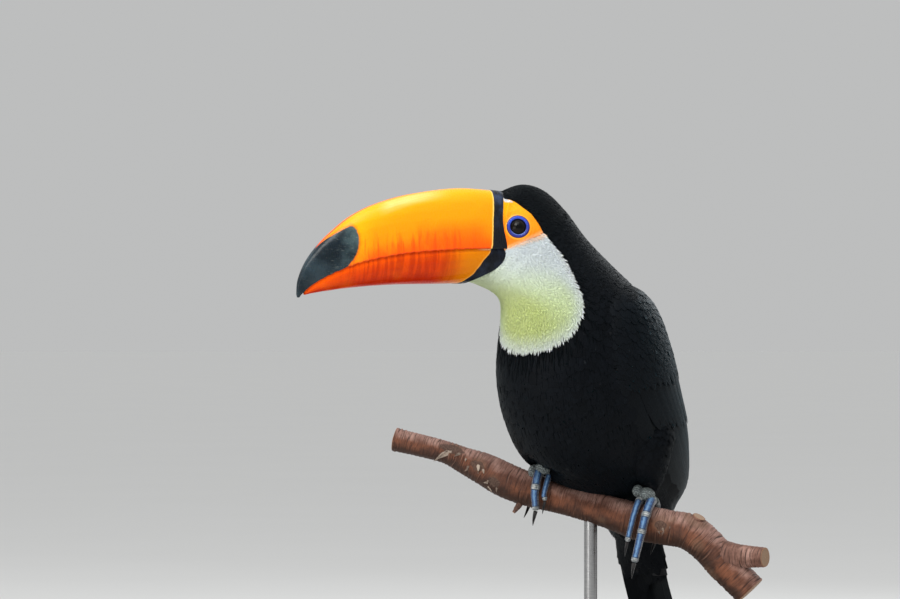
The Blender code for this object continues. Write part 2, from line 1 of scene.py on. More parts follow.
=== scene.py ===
"""Looks for a toco toucan that grips a cut branch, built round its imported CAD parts.

The bird's shape is worked out in millimetres in the bird frame: +X is where the breast faces, +Y is the
bird's left and +Z is up, from the top of the perch between the feet. The head frame is the bird frame turned
about the neck. Meshes are made in the row frame, in metres, and placed by the CAD eyes.
"""

import math

import bmesh
import bpy
import numpy as np
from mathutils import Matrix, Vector
from mathutils.kdtree import KDTree


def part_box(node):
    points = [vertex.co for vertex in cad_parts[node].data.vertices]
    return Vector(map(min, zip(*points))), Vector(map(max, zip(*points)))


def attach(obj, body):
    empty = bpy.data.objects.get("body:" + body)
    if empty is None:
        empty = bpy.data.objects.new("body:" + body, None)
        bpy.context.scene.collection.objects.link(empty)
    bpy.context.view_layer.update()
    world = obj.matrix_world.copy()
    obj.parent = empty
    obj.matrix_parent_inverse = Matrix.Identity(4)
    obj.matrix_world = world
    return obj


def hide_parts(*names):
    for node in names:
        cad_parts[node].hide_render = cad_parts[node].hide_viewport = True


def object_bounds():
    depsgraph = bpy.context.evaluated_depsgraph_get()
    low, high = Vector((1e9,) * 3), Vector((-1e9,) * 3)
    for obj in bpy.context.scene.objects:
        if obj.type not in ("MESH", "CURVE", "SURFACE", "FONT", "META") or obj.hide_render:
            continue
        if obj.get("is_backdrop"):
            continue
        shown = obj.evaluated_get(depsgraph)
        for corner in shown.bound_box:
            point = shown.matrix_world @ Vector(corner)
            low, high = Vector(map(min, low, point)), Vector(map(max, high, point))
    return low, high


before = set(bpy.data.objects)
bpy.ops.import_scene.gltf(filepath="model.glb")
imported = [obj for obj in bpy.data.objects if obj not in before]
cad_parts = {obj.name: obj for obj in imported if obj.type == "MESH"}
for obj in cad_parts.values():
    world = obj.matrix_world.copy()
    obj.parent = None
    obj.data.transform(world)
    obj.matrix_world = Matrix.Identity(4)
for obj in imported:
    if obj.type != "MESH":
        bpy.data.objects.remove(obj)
cad_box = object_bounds()
rng = np.random.default_rng(20)

MM = 0.001
TURN = 2 * math.pi


# ---- The bird's shape, with the same named sizes as its solids.

BODY_YAW = math.radians(38)
HEAD_TURN = math.radians(27)
NECK_PIVOT_X = 5
BILL_BASE_X, MOUTH_Z = 73, 182.4
PERCH_YAW = math.radians(12)

# From over the tail to the bill: dorsal x, z, ventral x, z, half width, and how low the width sits.
BODY = (
    (-96, -62, -80, -69, 24, 0.0),
    (-88, -38, -64, -49, 27, 0.0),
    (-84, -16, -47, -34, 28, 0.0),
    (-84, 6, -36, -20, 36, 0.0),
    (-81, 31, 12, 1, 46.5, 0.0),
    (-75, 57, 50, 20.5, 55.5, 0.0),
    (-66, 83, 72, 50, 58.5, 0.0),
    (-56, 109, 81, 80, 58, 0.0),
    (-44, 134, 81, 107, 55, -0.02),
    (-29, 155, 79, 128, 50, -0.04),
    (-11, 171, 79, 142, 43, -0.02),
    (8, 191, 84, 150, 36.5, 0.04),
    (24, 213, 92, 155, 32, 0.08),
    (40, 227, 99, 157.5, 29, 0.10),
    (57, 231.5, 104, 158, 26, 0.08),
    (73, 225, 112, 157, 22.3, 0.04),
)
TRUNK_START, HEAD_START, HEAD_END = 2.0, 11.9, 15.0
TURN_FROM, TURN_TO = 8.4, 12.4
BILL_EDGE = ((73, 225), (79.5, 210), (81.5, 196), (82.5, 182.4), (87.5, 170), (112, 157))
MOUTH_SHARE, BILL_SINK = 0.6, 2
# How far the feathered face swells at the bill's base: degrees from the top of the head, millimetres.
FACE_SWELL = ((0, 0), (20, 2.2), (35, 3.6), (53, 1.9), (78, 0.3), (95, 0))
FACE_SWELL_FROM, FOREHEAD_SWELL = 13.8, 1.5
BILL_GAP = 0.35

# The bill in the head frame, from the culmen's base: ridge x, z, mouth line x, z, half width there.
UPPER_BILL = (
    (0, 44.0, 8.0, 0.4, 22.6),
    (31, 45.8, 34, 0.2, 22.8),
    (62, 43.4, 60, -1.0, 20.6),
    (94, 37.2, 86, -3.2, 17.8),
    (122, 26.4, 110, -7.2, 14.6),
    (144.5, 10.0, 130, -12.6, 11.2),
    (160, -6.6, 147, -19.8, 7.6),
    (168, -22.0, 159, -27.0, 4.2),
    (169.6, -33.6, 166.4, -34.0, 1.8),
)
LOWER_BILL = (
    (39, -25.2, 8.0, -0.4, 22.0),
    (50, -25.7, 34, -0.6, 22.2),
    (68, -26.0, 60, -1.8, 20.0),
    (90, -26.4, 86, -4.0, 17.2),
    (112, -27.6, 110, -8.0, 14.0),
    (131, -29.3, 130, -13.4, 10.6),
    (147, -31.4, 147, -20.6, 7.0),
    (157.5, -33.0, 157.5, -26.6, 3.8),
    (163.0, -34.2, 162.6, -31.0, 1.6),
)
UPPER_TIP, UPPER_FULLNESS = (168.8, 0, -38.0), 0.62
LOWER_TIP, LOWER_FULLNESS = (164.6, 0, -33.6), 0.72

EYE_AT = (71.2, 18.2, 199.9)
# The eye's opening lies a little behind and below its solid's middle.
EYE_SHIFT = (-0.8, 0, -2.2)

# A folded wing on the body's surface: body station, inner and outer angle from the dorsal line, thickness.
WING = (
    (9.35, 58, 84, 1.6),
    (9.05, 45, 98, 5.0),
    (8.5, 35, 106, 8.5),
    (7.7, 27, 111, 10.0),
    (6.8, 20, 112, 10.5),
    (5.9, 15, 109, 10.0),
    (5.0, 11, 104, 10.5),
    (4.2, 8, 101, 11.0),
    (3.4, 7, 90, 10.0),
    (2.6, 8, 68, 6.4),
    (1.8, 11, 51, 3.2),
    (1.1, 15, 35, 1.9),
    (0.6, 21, 27, 1.1),
)
WING_EDGE = 1.1

TAIL_ROOT = (-61, 0, -27)
TAIL_LEAN = math.radians(23)
TAIL = ((0, 19, 13), (22, 22, 9.5), (48, 24, 5.0), (85, 26.5, 3.2), (118, 28.5, 2.6))
TAIL_LENGTH, TAIL_STEP, TAIL_ARCH = 152, 18, 5

# The branch's centre line in the plane it lies in: along, up, radius.
BRANCH = (
    (-150, 37.5, 8.9),
    (-131, 33.2, 8.6),
    (-112, 28.4, 8.5),
    (-98, 23.2, 9.8),
    (-83, 16.6, 12.0),
    (-66, 7.4, 13.4),
    (-47, 0.8, 12.8),
    (-22, -6.5, 11.3),
    (2, -13, 11.6),
    (22, -18.6, 12.6),
    (41, -24.2, 14.1),
    (60, -27.6, 13.4),
    (76, -31, 13.2),
    (91, -41, 13.6),
    (107, -57, 13.2),
    (124, -75, 12.6),
)

THIGHS = {
    "R": ((-14, -28, 78, 20), (-3, -38, 59, 24), (4, -41, 42, 21)),
    "L": ((-22, 26, 70, 20), (-15, 40, 49, 24), (-15, 43, 30, 21)),
}


def whole_turn(count):
    """Even angles round a whole turn."""
    return np.linspace(0, TURN, count, endpoint=False)


def grid(u, v):
    return np.meshgrid(u, v, indexing="ij")


def matched(*values):
    """Numbers and arrays as arrays of one shape."""
    return np.broadcast_arrays(*(np.asarray(v, float) for v in values))


def size_of(vectors):
    return np.linalg.norm(vectors, axis=-1)


def rows_at(table, t):
    """A table's rows at the fractional indices t, on a Catmull-Rom curve through its rows."""
    table, t = np.asarray(table, float), np.asarray(t, float)
    last = len(table) - 1
    k = np.clip(np.floor(t).astype(int), 0, last - 1)
    u = (t - k)[..., None]
    a, b, c, d = (table[np.clip(k + i, 0, last)] for i in (-1, 0, 1, 2))
    return 0.5 * (2 * b + (c - a) * u + (2 * a - 5 * b + 4 * c - d) * u * u + (3 * b - a - 3 * c + d) * u**3)


def smooth_step(low, high, value):
    t = np.clip((value - low) / (high - low), 0, 1)
    return t * t * (3 - 2 * t)


def mix(a, b, share):
    """a and b mixed by a share, which may have an entry for each row."""
    share = np.asarray(share, float)
    a, b = np.asarray(a, float), np.asarray(b, float)
    if a.ndim and a.shape[-1] == 3 and share.shape[-1:] != (3,):
        share = share[..., None]
    return a + (b - a) * share


def wrapped(a):
    """An angle brought within half a turn of zero."""
    return (a + math.pi) % TURN - math.pi


def unit(v):
    return v / np.maximum(np.linalg.norm(v, axis=-1, keepdims=True), 1e-12)


def turned(p, share):
    """Bird-frame points turned about the neck by a share of the head's turn."""
    angle = -HEAD_TURN * np.asarray(share, float)
    c, s = np.cos(angle), np.sin(angle)
    x, y = p[..., 0] - NECK_PIVOT_X, p[..., 1]
    return np.stack((c * x - s * y + NECK_PIVOT_X, s * x + c * y, p[..., 2]), -1)


def unturned_body(t, a):
    """The body's surface as if the head looked straight ahead: station t, angle a from the dorsal line."""
    t, a = matched(t, a)
    row = rows_at(BODY, t)
    v = (1 - np.cos(a)) / 2
    edge = rows_at(BILL_EDGE, v * (len(BILL_EDGE) - 1))
    bend = np.clip((t - HEAD_START) / (HEAD_END - HEAD_START), 0, 1)
    (top_x, top_z), (low_x, low_z) = BILL_EDGE[0], BILL_EDGE[-1]
    x = row[..., 0] + (row[..., 2] - row[..., 0]) * v + (edge[..., 0] - top_x * (1 - v) - low_x * v) * bend
    y = row[..., 4] * np.sin(a) * (1 - row[..., 5] * np.cos(a))
    z = row[..., 1] + (row[..., 3] - row[..., 1]) * v + (edge[..., 1] - top_z * (1 - v) - low_z * v) * bend
    # The face fills out to meet the bill's square shoulders.
    share = smooth_step(FACE_SWELL_FROM, HEAD_END, t)
    y = y + np.sign(np.sin(a)) * share * np.interp(np.degrees(np.abs(wrapped(a))), *zip(*FACE_SWELL))
    z = z + FOREHEAD_SWELL * share * np.clip(np.cos(a), 0, 1) ** 2
    return np.stack((x, y, z), -1)


def bird_body(t, a):
    return turned(unturned_body(t, a), smooth_step(TURN_FROM, TURN_TO, np.asarray(t, float)))


def bird_turn(v):
    """Directions from the bird frame into the row frame."""
    angle = -(math.pi / 2 + BODY_YAW)
    c, s = math.cos(angle), math.sin(angle)
    return np.stack((c * v[..., 0] - s * v[..., 1], s * v[..., 0] + c * v[..., 1], v[..., 2]), -1)


def centre_of(node):
    low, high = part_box(node)
    return np.array((low + high) / 2)


# The perch's top between the feet, placed so that the shape's eye falls on the CAD eye.
PERCH_TOP = centre_of("eye_L") - bird_turn(turned(np.array(EYE_AT), 1.0)) * MM


def placed(p):
    """Bird-frame points in millimetres as row-frame points in metres."""
    return bird_turn(np.asarray(p, float)) * MM + PERCH_TOP


def head_placed(p):
    """Head-frame points in millimetres, from the culmen's base and the mouth line, in the row frame."""
    return placed(turned(np.asarray(p, float) + np.array((BILL_BASE_X, 0, MOUTH_Z)), 1.0))


class Sheet:
    """A surface over two parameters, sampled on a grid to look up points, outward directions and scales."""

    def __init__(self, spot, u_range, v_range, u_count, v_count, wraps, inside):
        self.low = np.array((u_range[0], v_range[0]), float)
        self.size = np.array((u_count, v_count))
        self.wraps = wraps
        u = np.linspace(*u_range, u_count)
        v = np.linspace(*v_range, v_count, endpoint=not wraps)
        self.u, self.v = u, v
        self.step = np.array((u[1] - u[0], v[1] - v[0]))
        self.points = spot(u[:, None], v[None, :])
        along = np.gradient(self.points, axis=0) / self.step[0]
        if wraps:
            across = (np.roll(self.points, -1, 1) - np.roll(self.points, 1, 1)) / (2 * self.step[1])
        else:
            across = np.gradient(self.points, axis=1) / self.step[1]
        normals = np.cross(along, across)
        self.area = size_of(normals)
        normals = unit(normals)
        middle = self.points.mean(1, keepdims=True) if inside is None else inside
        outward = ((self.points - middle) * normals).sum()
        self.normals = normals * (1 if outward > 0 else -1)
        self.packed = np.concatenate((self.points, self.normals, along, across), -1)

    def look(self, u, v):
        """Points, normals, and how far one unit of u and of v goes, at each u and v."""
        place = (np.stack((u, v), -1) - self.low) / self.step
        if self.wraps:
            place[..., 1] %= self.size[1]
        # Beyond its edges the sheet runs straight on.
        k = np.floor(place).astype(int)
        k[..., 0] = np.clip(k[..., 0], 0, self.size[0] - 2)
        if not self.wraps:
            k[..., 1] = np.clip(k[..., 1], 0, self.size[1] - 2)
        f = place - k
        i, j = k[..., 0], k[..., 1] % self.size[1]
        j2 = (j + 1) % self.size[1] if self.wraps else j + 1
        f0, f1 = f[..., :1], f[..., 1:]
        low = self.packed[i, j] * (1 - f1) + self.packed[i, j2] * f1
        high = self.packed[i + 1, j] * (1 - f1) + self.packed[i + 1, j2] * f1
        found = low * (1 - f0) + high * f0
        return found[..., :3], unit(found[..., 3:6]), found[..., 6:9], found[..., 9:12]


def new_mesh(name, points, corners, totals, layers=None, maps=None, smooth=True):
    """An object from arrays: points, the corners of all faces in turn, and each face's corner count.

    layers holds colours or numbers of each point, and maps holds UV places of each corner.
    """
    mesh = bpy.data.meshes.new(name)
    mesh.vertices.add(len(points))
    mesh.vertices.foreach_set("co", np.asarray(points, np.float32).ravel())
    mesh.loops.add(len(corners))
    mesh.loops.foreach_set("vertex_index", np.asarray(corners, np.int32).ravel())
    mesh.polygons.add(len(totals))
    starts = np.concatenate(([0], np.cumsum(totals)[:-1])).astype(np.int32)
    mesh.polygons.foreach_set("loop_start", starts)
    mesh.polygons.foreach_set("loop_total", np.asarray(totals, np.int32))
    for key, values in (layers or {}).items():
        values = np.asarray(values, np.float32)
        if values.ndim == 2:
            colour = np.ones((len(values), 4), np.float32)
            colour[:, :3] = values
            mesh.attributes.new(key, "FLOAT_COLOR", "POINT").data.foreach_set("color", colour.ravel())
        else:
            mesh.attributes.new(key, "FLOAT", "POINT").data.foreach_set("value", values)
    for key, values in (maps or {}).items():
        mesh.uv_layers.new(name=key).data.foreach_set("uv", np.asarray(values, np.float32).ravel())
    mesh.update(calc_edges=True)
    mesh.validate()
    if smooth:
        mesh.shade_smooth()
    made = bpy.data.objects.new(name, mesh)
    bpy.context.scene.collection.objects.link(made)
    return made


def grid_faces(rows, columns):
    """The corners of the quads between closed rows of points."""
    i, j = np.arange(rows - 1)[:, None] * columns, np.arange(columns)[None, :]
    following = (j + 1) % columns
    return np.stack((i + j, i + following, i + columns + following, i + columns + j), -1).reshape(-1, 4)


def tubes(name, *shells, capped=True):
    """One object of tubes, each as rings of points and the marks on them, closed at their ends' middles."""
    points, corners, totals, layers, start = [], [], [], {}, 0
    for rings, marks in shells:
        rows, columns = rings.shape[:2]
        quads = grid_faces(rows, columns) + start
        corners.append(quads.ravel())
        totals.append(np.full(len(quads), 4))
        lists = [points, *(layers.setdefault(key, []) for key in marks)]
        for gathered, values in zip(lists, (rings, *marks.values())):
            values = np.asarray(values, float)
            gathered.append(values.reshape(-1, *values.shape[2:]))
            if capped:
                gathered.append(np.stack((values[0].mean(0), values[-1].mean(0))))
        if capped:
            first = np.arange(columns) + start
            last = first + (rows - 1) * columns
            tip = np.full(columns, start + rows * columns)
            corners.append(np.stack((tip, np.roll(first, -1), first), -1).ravel())
            corners.append(np.stack((last, np.roll(last, -1), tip + 1), -1).ravel())
            totals.append(np.full(2 * columns, 3))
            start += 2
        start += rows * columns
    layers = {key: np.concatenate(values) for key, values in layers.items()}
    return new_mesh(name, np.concatenate(points), np.concatenate(corners), np.concatenate(totals), layers)


# ---- Materials.

class Value:
    """An output of a material's nodes, with short ways to add the nodes that follow it."""

    def __init__(self, look, socket):
        self.look, self.socket = look, socket

    def step(self, low, high, most=1.0, least=0.0):
        """A smooth step from the least at low to the most at high."""
        inputs = {"Value": self, "From Min": low, "From Max": high, "To Min": least, "To Max": most}
        return self.look.node("MapRange", inputs, interpolation_type="SMOOTHSTEP")

    def __add__(self, other):
        return self.look.math("ADD", self, other)

    def __sub__(self, other):
        return self.look.math("SUBTRACT", self, other)

    def __mul__(self, other):
        return self.look.math("MULTIPLY", self, other)


class Look:
    """A material and short ways to add its nodes."""

    def __init__(self, name):
        self.material = bpy.data.materials.new(name)
        self.material.use_nodes = True
        self.tree = self.material.node_tree
        self.shader = self.tree.nodes["Principled BSDF"]

    def put(self, socket, value):
        """Links a socket to a value, or sets it to a constant."""
        if isinstance(value, Value):
            self.tree.links.new(value.socket, socket)
        elif isinstance(value, tuple) and len(value) == 3 and socket.type == "RGBA":
            socket.default_value = (*value, 1)
        else:
            socket.default_value = value

    def node(self, kind, inputs, out=0, **settings):
        made = self.tree.nodes.new("ShaderNode" + kind)
        for key, value in settings.items():
            setattr(made, key, value)
        for key, value in inputs.items():
            self.put(made.inputs[key], value)
        return Value(self, made.outputs[out])

    def set(self, **inputs):
        """Sets the shader's inputs, named with _ for each space."""
        for key, value in inputs.items():
            self.put(self.shader.inputs[key.replace("_", " ")], value)
        return self

    def math(self, operation, *values):
        return self.node("Math", dict(enumerate(values)), operation=operation)

    def mix(self, a, b, share, blend="MIX"):
        return self.node("Mix", {0: share, 6: a, 7: b}, 2, data_type="RGBA", blend_type=blend)

    def painted(self, colour, *coats):
        """A colour under coats of other colours, each with its share."""
        for coat, share in coats:
            colour = self.mix(colour, coat, share)
        return colour

    def numbers(self, *names):
        """The numbers that the mesh carries under these names."""
        return [self.node("Attribute", {}, 2, attribute_name=name) for name in names]

    def colour(self, name):
        return self.node("Attribute", {}, attribute_name=name)

    def uv(self, name):
        return self.node("UVMap", {}, uv_map=name)

    def place(self):
        return self.node("TexCoord", {}, 3)

    def scaled(self, vector, scale):
        return self.node("Mapping", {"Vector": vector, "Scale": scale})

    def join(self, x, y):
        return self.node("CombineXYZ", {"X": x, "Y": y})

    def split(self, vector):
        return [self.node("SeparateXYZ", {"Vector": vector}, out) for out in (0, 1)]

    def noise(self, vector, scale, detail, roughness=0.5, distortion=0.0):
        inputs = {"Vector": vector, "Scale": scale, "Detail": detail, "Roughness": roughness}
        return self.node("TexNoise", {**inputs, "Distortion": distortion})

    def cells(self, scale, feature="F1"):
        return self.node("TexVoronoi", {"Vector": self.place(), "Scale": scale}, feature=feature)

    def bump(self, height, distance, strength):
        return self.node("Bump", {"Height": height, "Distance": distance, "Strength": strength})


def finish(piece, look, slot, *nodes):
    """Gives a piece its material and its body, and hides the CAD nodes that it stands for. slot is not used.
    """
    piece.data.materials.clear()
    piece.data.materials.append(look.material)
    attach(piece, "root")
    if nodes:
        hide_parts(*nodes)
    return piece


# ---- The shapes over the body, and the branch and the feet that press into the belly.

wing_rows = rows_at(WING, np.linspace(0, len(WING) - 1, 200))[::-1]


def wing_at(t):
    """The folded wing's inner and outer angle, in radians, and thickness at each station."""
    inner, outer, thick = (np.interp(t, wing_rows[:, 0], wing_rows[:, i]) for i in (1, 2, 3))
    return np.radians(inner), np.radians(outer), thick


def wing_height(u, thick):
    """A wing's height off the body at a share across it from -1 to 1."""
    return WING_EDGE + (thick - WING_EDGE) * (1 - np.clip(np.abs(u), 0, 1) ** 2.4)


def wing_rise(t, a):
    """How far the folded wings stand off the body, in millimetres."""
    t, a = matched(t, a)
    inner, outer, thick = wing_at(t)
    u = 2 * (np.abs(wrapped(a)) - inner) / (outer - inner) - 1
    rise = wing_height(u, thick)
    fade = 1 - smooth_step(1.0, 1.12, np.abs(u))
    here = smooth_step(wing_rows[0, 0] - 0.1, wing_rows[0, 0], t) * (1 - smooth_step(9.25, 9.45, t))
    return rise * fade * here


def wing_spot(side):
    """The outer surface of a folded wing, over its station and its share across from -1 to 1."""

    def spot(t, u):
        t, u = matched(t, u)
        inner, outer, thick = wing_at(t)
        a = (inner + (outer - inner) * (u + 1) / 2) * side
        p, n, _, _ = body_sheet.look(t, a)
        return p + n * (wing_height(u, thick) * MM)[..., None]

    return spot


tail_down = np.array((-math.sin(TAIL_LEAN), 0, -math.cos(TAIL_LEAN)))
tail_back = np.array((-math.cos(TAIL_LEAN), 0, math.sin(TAIL_LEAN)))


def tail_spot(length, across, rise=0.0):
    """A place on or off the tail's middle sheet: millimetres down it, across it and off its upper side."""
    length, across, rise = matched(length, across, rise)
    width = rows_at(TAIL, np.interp(length, [row[0] for row in TAIL], range(len(TAIL))))[..., 1]
    bow = -TAIL_ARCH * (across / width) ** 2 * np.clip(length / 48, 0, 1)
    p = np.array(TAIL_ROOT, float) + tail_down * length[..., None] + tail_back * (bow + rise)[..., None]
    p[..., 1] += across
    return placed(p)


def tail_root_spot(length, angle):
    """The coverts' surface round the tail's root."""
    length, angle = matched(length, angle)
    row = rows_at(TAIL, np.interp(length, [row[0] for row in TAIL], range(len(TAIL))))
    return tail_spot(length, row[..., 1] * np.sin(angle), row[..., 2] * np.cos(angle))


def tube_spot(path):
    """A tube's surface over a share along its path and an angle. The path's rows are x, y, z and radius."""
    path = np.asarray(path, float)

    def spot(s, angle):
        s, angle = matched(s, angle)
        row = rows_at(path, s * (len(path) - 1))
        step = 0.01
        ahead = rows_at(path, np.clip(s + step, 0, 1) * (len(path) - 1))
        behind = rows_at(path, np.clip(s - step, 0, 1) * (len(path) - 1))
        way = unit(ahead[..., :3] - behind[..., :3])
        side = unit(np.cross(way, (1.0, 0.15, 0.0)))
        other = np.cross(way, side)
        ring = side * np.cos(angle)[..., None] + other * np.sin(angle)[..., None]
        return placed(row[..., :3] + ring * row[..., 3:])

    return spot


UP = np.array((0, 0, 1.0))
BRANCH_RUN = np.array((math.cos(PERCH_YAW), -math.sin(PERCH_YAW), 0))


def branch_frame():
    """The branch's centre line in the row frame, in metres: points, directions and radii."""
    t = np.linspace(0, len(BRANCH) - 1, 400)
    rows = rows_at(BRANCH, t)
    centre = PERCH_TOP + (BRANCH_RUN * rows[:, :1] + UP * rows[:, 1:2]) * MM
    return rows[:, 0], centre, unit(np.gradient(centre, axis=0)), rows[:, 2] * MM


branch_along, branch_centre, branch_way, branch_radius = branch_frame()


def branch_spot(along):
    """The branch's centre, direction and radius at a distance along it, and the ways up and forward."""
    centre, way = (
        np.array([np.interp(along, branch_along, rows[:, i]) for i in range(3)])
        for rows in (branch_centre, branch_way)
    )
    way = unit(way)
    radius = float(np.interp(along, branch_along, branch_radius))
    up = unit(UP - way * way[2])
    side = np.cross(way, up)
    return centre, way, radius, up, side if side[1] < 0 else -side


# Where each foot grips along the branch, and its ankle's height, radius and distance from the thigh's end.
FEET = {"R": -37, "L": 42.5}
ANKLE_RISE, ANKLE_RADIUS, THIGH_END = 12, 7, 8
# The lobes of each foot's bulb over its toes' roots: how far each lies along the branch, forward and up, and
# its half width, depth and height.
KNUCKLE_RISE = 5.9
LOBES = {
    "R": ((-1.8, 8.0, 1.0, 5.8, 6.4, 4.6), (-8.8, 7.0, -3.0, 3.5, 5.4, 4.7)),
    "L": ((-1.2, 5.0, 2.2, 6.4, 6.6, 4.9), (-8.6, 4.4, 3.2, 4.0, 5.2, 4.5)),
}
# How much of the belly over each foot's bulb is pressed back, away from where the feet face, and how deep.
PRESSED = {"R": 0.88, "L": 0.35}
PRESS_WAY, PRESS_DEPTH = np.array((0, 1.0, 0)), -3.5


def lobes(letter):
    """The middle of each lobe of a foot's bulb, and its half width, depth and height in millimetres."""
    centre, way, radius, up, front = branch_spot(FEET[letter])
    root = centre + up * (radius + KNUCKLE_RISE * MM)
    for along, forward, raised, *half in LOBES[letter]:
        yield root + (way * along + front * forward + up * raised) * MM, half


def behind_feet(points):
    """Presses the belly back round each foot's bulb, so that the bulb stands out of the feathers."""
    points = np.array(points)
    for letter, share in PRESSED.items():
        for middle, (wide, *_) in lobes(letter):
            offset = (points - middle) / MM
            ahead = -offset @ PRESS_WAY
            aside = size_of(offset + ahead[..., None] * PRESS_WAY)
            most = PRESS_DEPTH + 14 * smooth_step(wide + 0.8, wide + 9, aside)
            over = np.clip(ahead - most, 0, None) * (1 - smooth_step(wide + 5, wide + 12, aside))
            over = over * (np.abs(ahead) < 34)
            points += share * over[..., None] * PRESS_WAY * MM
    return points


def from_placed(point):
    """A row-frame point in the bird frame, in millimetres."""
    x, y, z = (np.asarray(point) - PERCH_TOP) / MM
    c, s = math.cos(math.pi / 2 + BODY_YAW), math.sin(math.pi / 2 + BODY_YAW)
    return np.array((c * x - s * y, s * x + c * y, z))


def thigh_path(letter):
    centre, _, radius, up, _ = branch_spot(FEET[letter])
    x, y, z = from_placed(centre + up * (radius + ANKLE_RISE * MM))
    ends = (x, y, z + THIGH_END, ANKLE_RADIUS * 1.5), (x, y, z, ANKLE_RADIUS * 0.8)
    return np.array((*THIGHS[letter], *ends))


body_sheet = Sheet(lambda t, a: placed(bird_body(t, a)), (0, HEAD_END), (0, TURN), 601, 720, True, None)


# ---- The markings.

# The bare orange skin round the eye, seen from the side before the head turns, closed over the bill's base.
EYE_PATCH = (
    (75.6, 219.5), (71.8, 218.0), (67.2, 214.1), (61.4, 209.2), (57.0, 202.5), (53.7, 195.0), (58.5, 192.3),
    (64.2, 190.8), (70.3, 188.2), (75.5, 185.5), (79.7, 182.7), (88, 180.5), (90, 200), (82, 217),
)
# The bib's edge: degrees from the dorsal line, and the station that the white reaches down to there.
BIB_EDGE = (
    (0, 17), (70, 15.6), (74, 13.2), (76, 12.3), (77, 12.03), (81, 11.45), (88, 10.97), (101, 10.39),
    (111, 9.82), (124, 9.08), (132, 8.6), (142, 8.17), (154, 7.95), (168, 7.82), (180, 7.78),
)
STATION_LENGTH = 13.0
# The white fleck along the patch's top edge in the head frame: x, z and radius at its two ends.
FLECK = ((6.0, 37.1, 1.5), (1.0, 35.8, 0.4))
# Where the black band stops and the face starts, over the bill's base: height and distance from its base.
BACK_EDGE = (
    (-30, -9), (-0.6, -9), (-0.5, 7.0), (1.6, 7.2), (7.6, 8.4), (13.6, 9.9), (21.6, 10.5), (27.6, 9.7),
    (36.6, 7.6), (44.5, 6.2), (50, 6),
)


def inside_by(x, z, outline):
    """How far places lie inside an outline, in its own units. It is negative outside."""
    outline = np.asarray(outline, float)
    nearest = np.full(x.shape, 1e9)
    odd = np.zeros(x.shape, bool)
    for (ax, az), (bx, bz) in zip(outline, np.roll(outline, -1, 0)):
        dx, dz = bx - ax, bz - az
        share = np.clip(((x - ax) * dx + (z - az) * dz) / (dx * dx + dz * dz), 0, 1)
        nearest = np.minimum(nearest, np.hypot(x - ax - share * dx, z - az - share * dz))
        if az != bz:
            odd ^= ((az > z) != (bz > z)) & (x < (bx - ax) * (z - az) / (bz - az) + ax)
    return np.where(odd, nearest, -nearest)


def fleck_depth(x, z):
    """Millimetres inside the white fleck, for places in the head frame."""
    (ax, az, wide), (bx, bz, thin) = FLECK
    share = np.clip(((x - ax) * (bx - ax) + (z - az) * (bz - az)) / ((bx - ax) ** 2 + (bz - az) ** 2), 0, 1)
    return wide + (thin - wide) * share - np.hypot(x - ax - share * (bx - ax), z - az - share * (bz - az))


def patch_depth(t, a):
    """Millimetres inside the bare orange skin."""
    p = unturned_body(t, a)
    return np.where(np.asarray(t) > 11.5, inside_by(p[..., 0], p[..., 2], EYE_PATCH), -30.0)


def bib_depth(t, a):
    """Millimetres inside the white bib, from its lower edge."""
    degrees = np.degrees(np.abs(wrapped(a)))
    edge = np.interp(degrees, *zip(*BIB_EDGE))
    return (t - edge) * STATION_LENGTH


BLACK = np.array((0.0030, 0.0042, 0.0062))
WHITE = np.array((0.68, 0.75, 0.77))
BRIGHT = np.array((0.80, 0.84, 0.84))
YELLOW = np.array((0.66, 0.80, 0.38))
DEEP_YELLOW = np.array((0.44, 0.52, 0.085))
RED = np.array((0.50, 0.018, 0.008))
BLUSH = np.array((0.92, 0.56, 0.34))
RUMP_WHITE = np.array((0.78, 0.77, 0.70))
VENT_LOWEST = -17


def at_vent(t, a):
    """Whether a place is in the red of the vent, which ends above the perch's underside."""
    return (t < 3.3) & (np.degrees(np.abs(wrapped(a))) > 132) & (unturned_body(t, a)[..., 2] > VENT_LOWEST)


def plumage(t, a):
    """The feathers' colour at a place on the body."""
    t, a = matched(t, a)
    p = unturned_body(t, a)
    inside = bib_depth(t, a)
    # The yellow wash is strongest low on the throat, and leaves the bib's rear and lower edges white.
    degrees = np.degrees(np.abs(wrapped(a)))
    wash = smooth_step(186, 140, p[..., 2]) * smooth_step(1, 16, inside) * smooth_step(80, 122, degrees)
    white = mix(WHITE, BRIGHT, smooth_step(9, 1, inside))
    yellow = mix(YELLOW, DEEP_YELLOW, 0.8 * smooth_step(128, 165, degrees))
    bib = mix(white, yellow, 0.88 * wash)
    bib = mix(bib, BLUSH, 0.8 * smooth_step(-1.4, 0.1, patch_depth(t, a)))
    colour = mix(BLACK, bib, inside > 0)
    rump = (t < 3.4) & (degrees < 47) & (wing_rise(t, a) < 0.8)
    colour = mix(colour, RUMP_WHITE, rump)
    return mix(colour, RED, at_vent(t, a))


# ---- The eyes: a frame for each, and the height of the face round it.

BALL_RADIUS, OPENING, LID_DROP = 7.6, 5.9, 0.5


